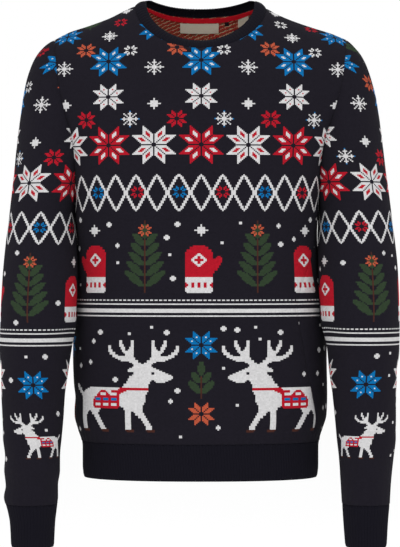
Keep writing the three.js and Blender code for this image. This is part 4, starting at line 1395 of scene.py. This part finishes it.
def back_inside(x, down):
    """The outside of the back panel at places x across and distances down from the neckline."""
    side = "left" if x < 0 else "right"
    turn = math.asin(min(abs(x) / NECK_X, 1))
    top = float(neckline("back", side, np.array([turn]))[1][0])
    share = abs(x) / SHOULDER_X
    grid = crown_grid("back", side, np.array([share, share + 0.01]))
    levels = np.linspace(top, top / 2, 161)
    path = place_on(CROWN_LEVELS, grid[:, 0], levels)
    beside = place_on(CROWN_LEVELS, grid[:, 1], levels[:1])[0]
    run = run_along(path, 0)
    at = place_on(run, path, down)
    below = place_on(run, path, down + 2.0) - at
    across = (beside - path[0]) * (-1 if side == "left" else 1)
    across[1] = 0
    normal = np.cross(across, below)
    normal *= -np.sign(normal[:, 1:2])
    return at, unit(normal)


def trim_piece(name, x, width, top, height, square, material, slot):
    """A thin flat trim on the inside of the back."""
    columns = max(round(width / TRIM_STEP), 4)
    rows = max(round(height / TRIM_STEP), 4)
    middle = back_inside(x, np.array([0.0]))[0][0, 2]
    near = []
    far = []
    for i in range(columns + 1):
        across = x + width * (i / columns - 0.5)
        sag = back_inside(across, np.array([0.0]))[0][0, 2] - middle if square else 0
        down = top + height * np.arange(rows + 1) / rows + sag
        at, inward = back_inside(across, down)
        base = at + inward * (KNIT_WALL + TRIM_CLEAR)
        near.append(base)
        far.append(base + inward * TRIM_WALL)
    near = np.array(near)
    wide, tall = near.shape[:2]
    ids = np.arange(wide * tall).reshape(wide, tall)
    shift = wide * tall
    faces = quads(ids)
    ring = np.concatenate([ids[:, 0], ids[-1, 1:], ids[-2::-1, -1], ids[0, -2:0:-1]])
    after = np.roll(ring, -1)
    rim = np.stack([after, ring, ring + shift, after + shift], axis=-1)
    points = np.concatenate([near.reshape(-1, 3), np.reshape(far, (-1, 3))])
    faces = np.concatenate([faces + shift, faces[:, (0, 3, 2, 1)], rim])
    thing = new_mesh(name + "_cloth", points, faces.tolist(), [material], smooth=False)
    u = np.repeat(np.linspace(0, width, wide), tall)
    v = np.tile(np.linspace(0, height, tall), wide)
    store_stitches(thing, np.tile(u, 2), np.tile(v, 2))
    keep(thing, [name], slot, (width * METRE, height * METRE), held="laid")


def build_trims():
    materials = {look: woven_material(look, *values) for look, (_, *values) in TRIM_LOOKS.items()}
    for *sizes, look in TRIMS:
        trim_piece(*sizes, materials[look], TRIM_LOOKS[look][0])


# The studio

PHOTO_WIDTH = 400
PIXEL = 1.42
CAMERA_AWAY = 3100
CAMERA_X = -0.7
CAMERA_Z = -377
SENSOR = 36
CLIP_END = 60


def build_camera():
    data = bpy.data.cameras.new("camera")
    data.sensor_fit = "HORIZONTAL"
    data.sensor_width = SENSOR
    data.lens = SENSOR * CAMERA_AWAY / (PHOTO_WIDTH * PIXEL)
    data.clip_end = CLIP_END
    camera = linked("camera", data)
    camera.location = Vector((CAMERA_X, -CAMERA_AWAY, CAMERA_Z)) * METRE
    camera.rotation_euler = (math.pi / 2, 0, 0)
    bpy.context.scene.camera = camera


FLOOR_Z = -1350
FLOOR_HALF = 14000
FLOOR_COLOUR = (0.97, 0.97, 0.97, 1)


def build_floor():
    nodes = Nodes("floor")
    nodes.shader.inputs["Base Color"].default_value = FLOOR_COLOUR
    nodes.shader.inputs["Roughness"].default_value = 1.0
    nodes.shader.inputs["Specular IOR Level"].default_value = 0.0
    signs = [(-1, -1), (1, -1), (1, 1), (-1, 1)]
    corners = np.array([(x * FLOOR_HALF, y * FLOOR_HALF, FLOOR_Z) for x, y in signs])
    new_mesh("floor", corners, [(0, 1, 2, 3)], [nodes.material], smooth=False)


# Each light's place and size in metres, and its power in watts
LIGHTS = [
    ("key", (-1.6, -2.4, 1.2), 1.8, 34),
    ("fill", (1.9, -2.2, 0.3), 1.8, 20),
    ("top", (0.0, 0.2, 2.2), 2.0, 16),
    ("rear", (0.6, 2.6, 0.9), 2.0, 24),
]
LIGHT_AIM = (0, 0, -0.35)


def build_lights():
    world = bpy.data.worlds.new("studio")
    world.use_nodes = True
    background = world.node_tree.nodes["Background"]
    background.inputs[0].default_value = (1, 1, 1, 1)
    background.inputs[1].default_value = 1.0
    bpy.context.scene.world = world
    bpy.context.scene.view_settings.view_transform = "Standard"
    for name, place, size, power in LIGHTS:
        data = bpy.data.lights.new(name, "AREA")
        data.shape = "SQUARE"
        data.size = size
        data.energy = power
        light = linked(name, data)
        light.location = place
        light.rotation_euler = (Vector(LIGHT_AIM) - Vector(place)).to_track_quat("-Z", "Y").to_euler()


build_camera()
build_floor()
build_lights()
build_body()
build_sleeves()
build_hem()
build_cuffs()
build_neckband()
build_trims()
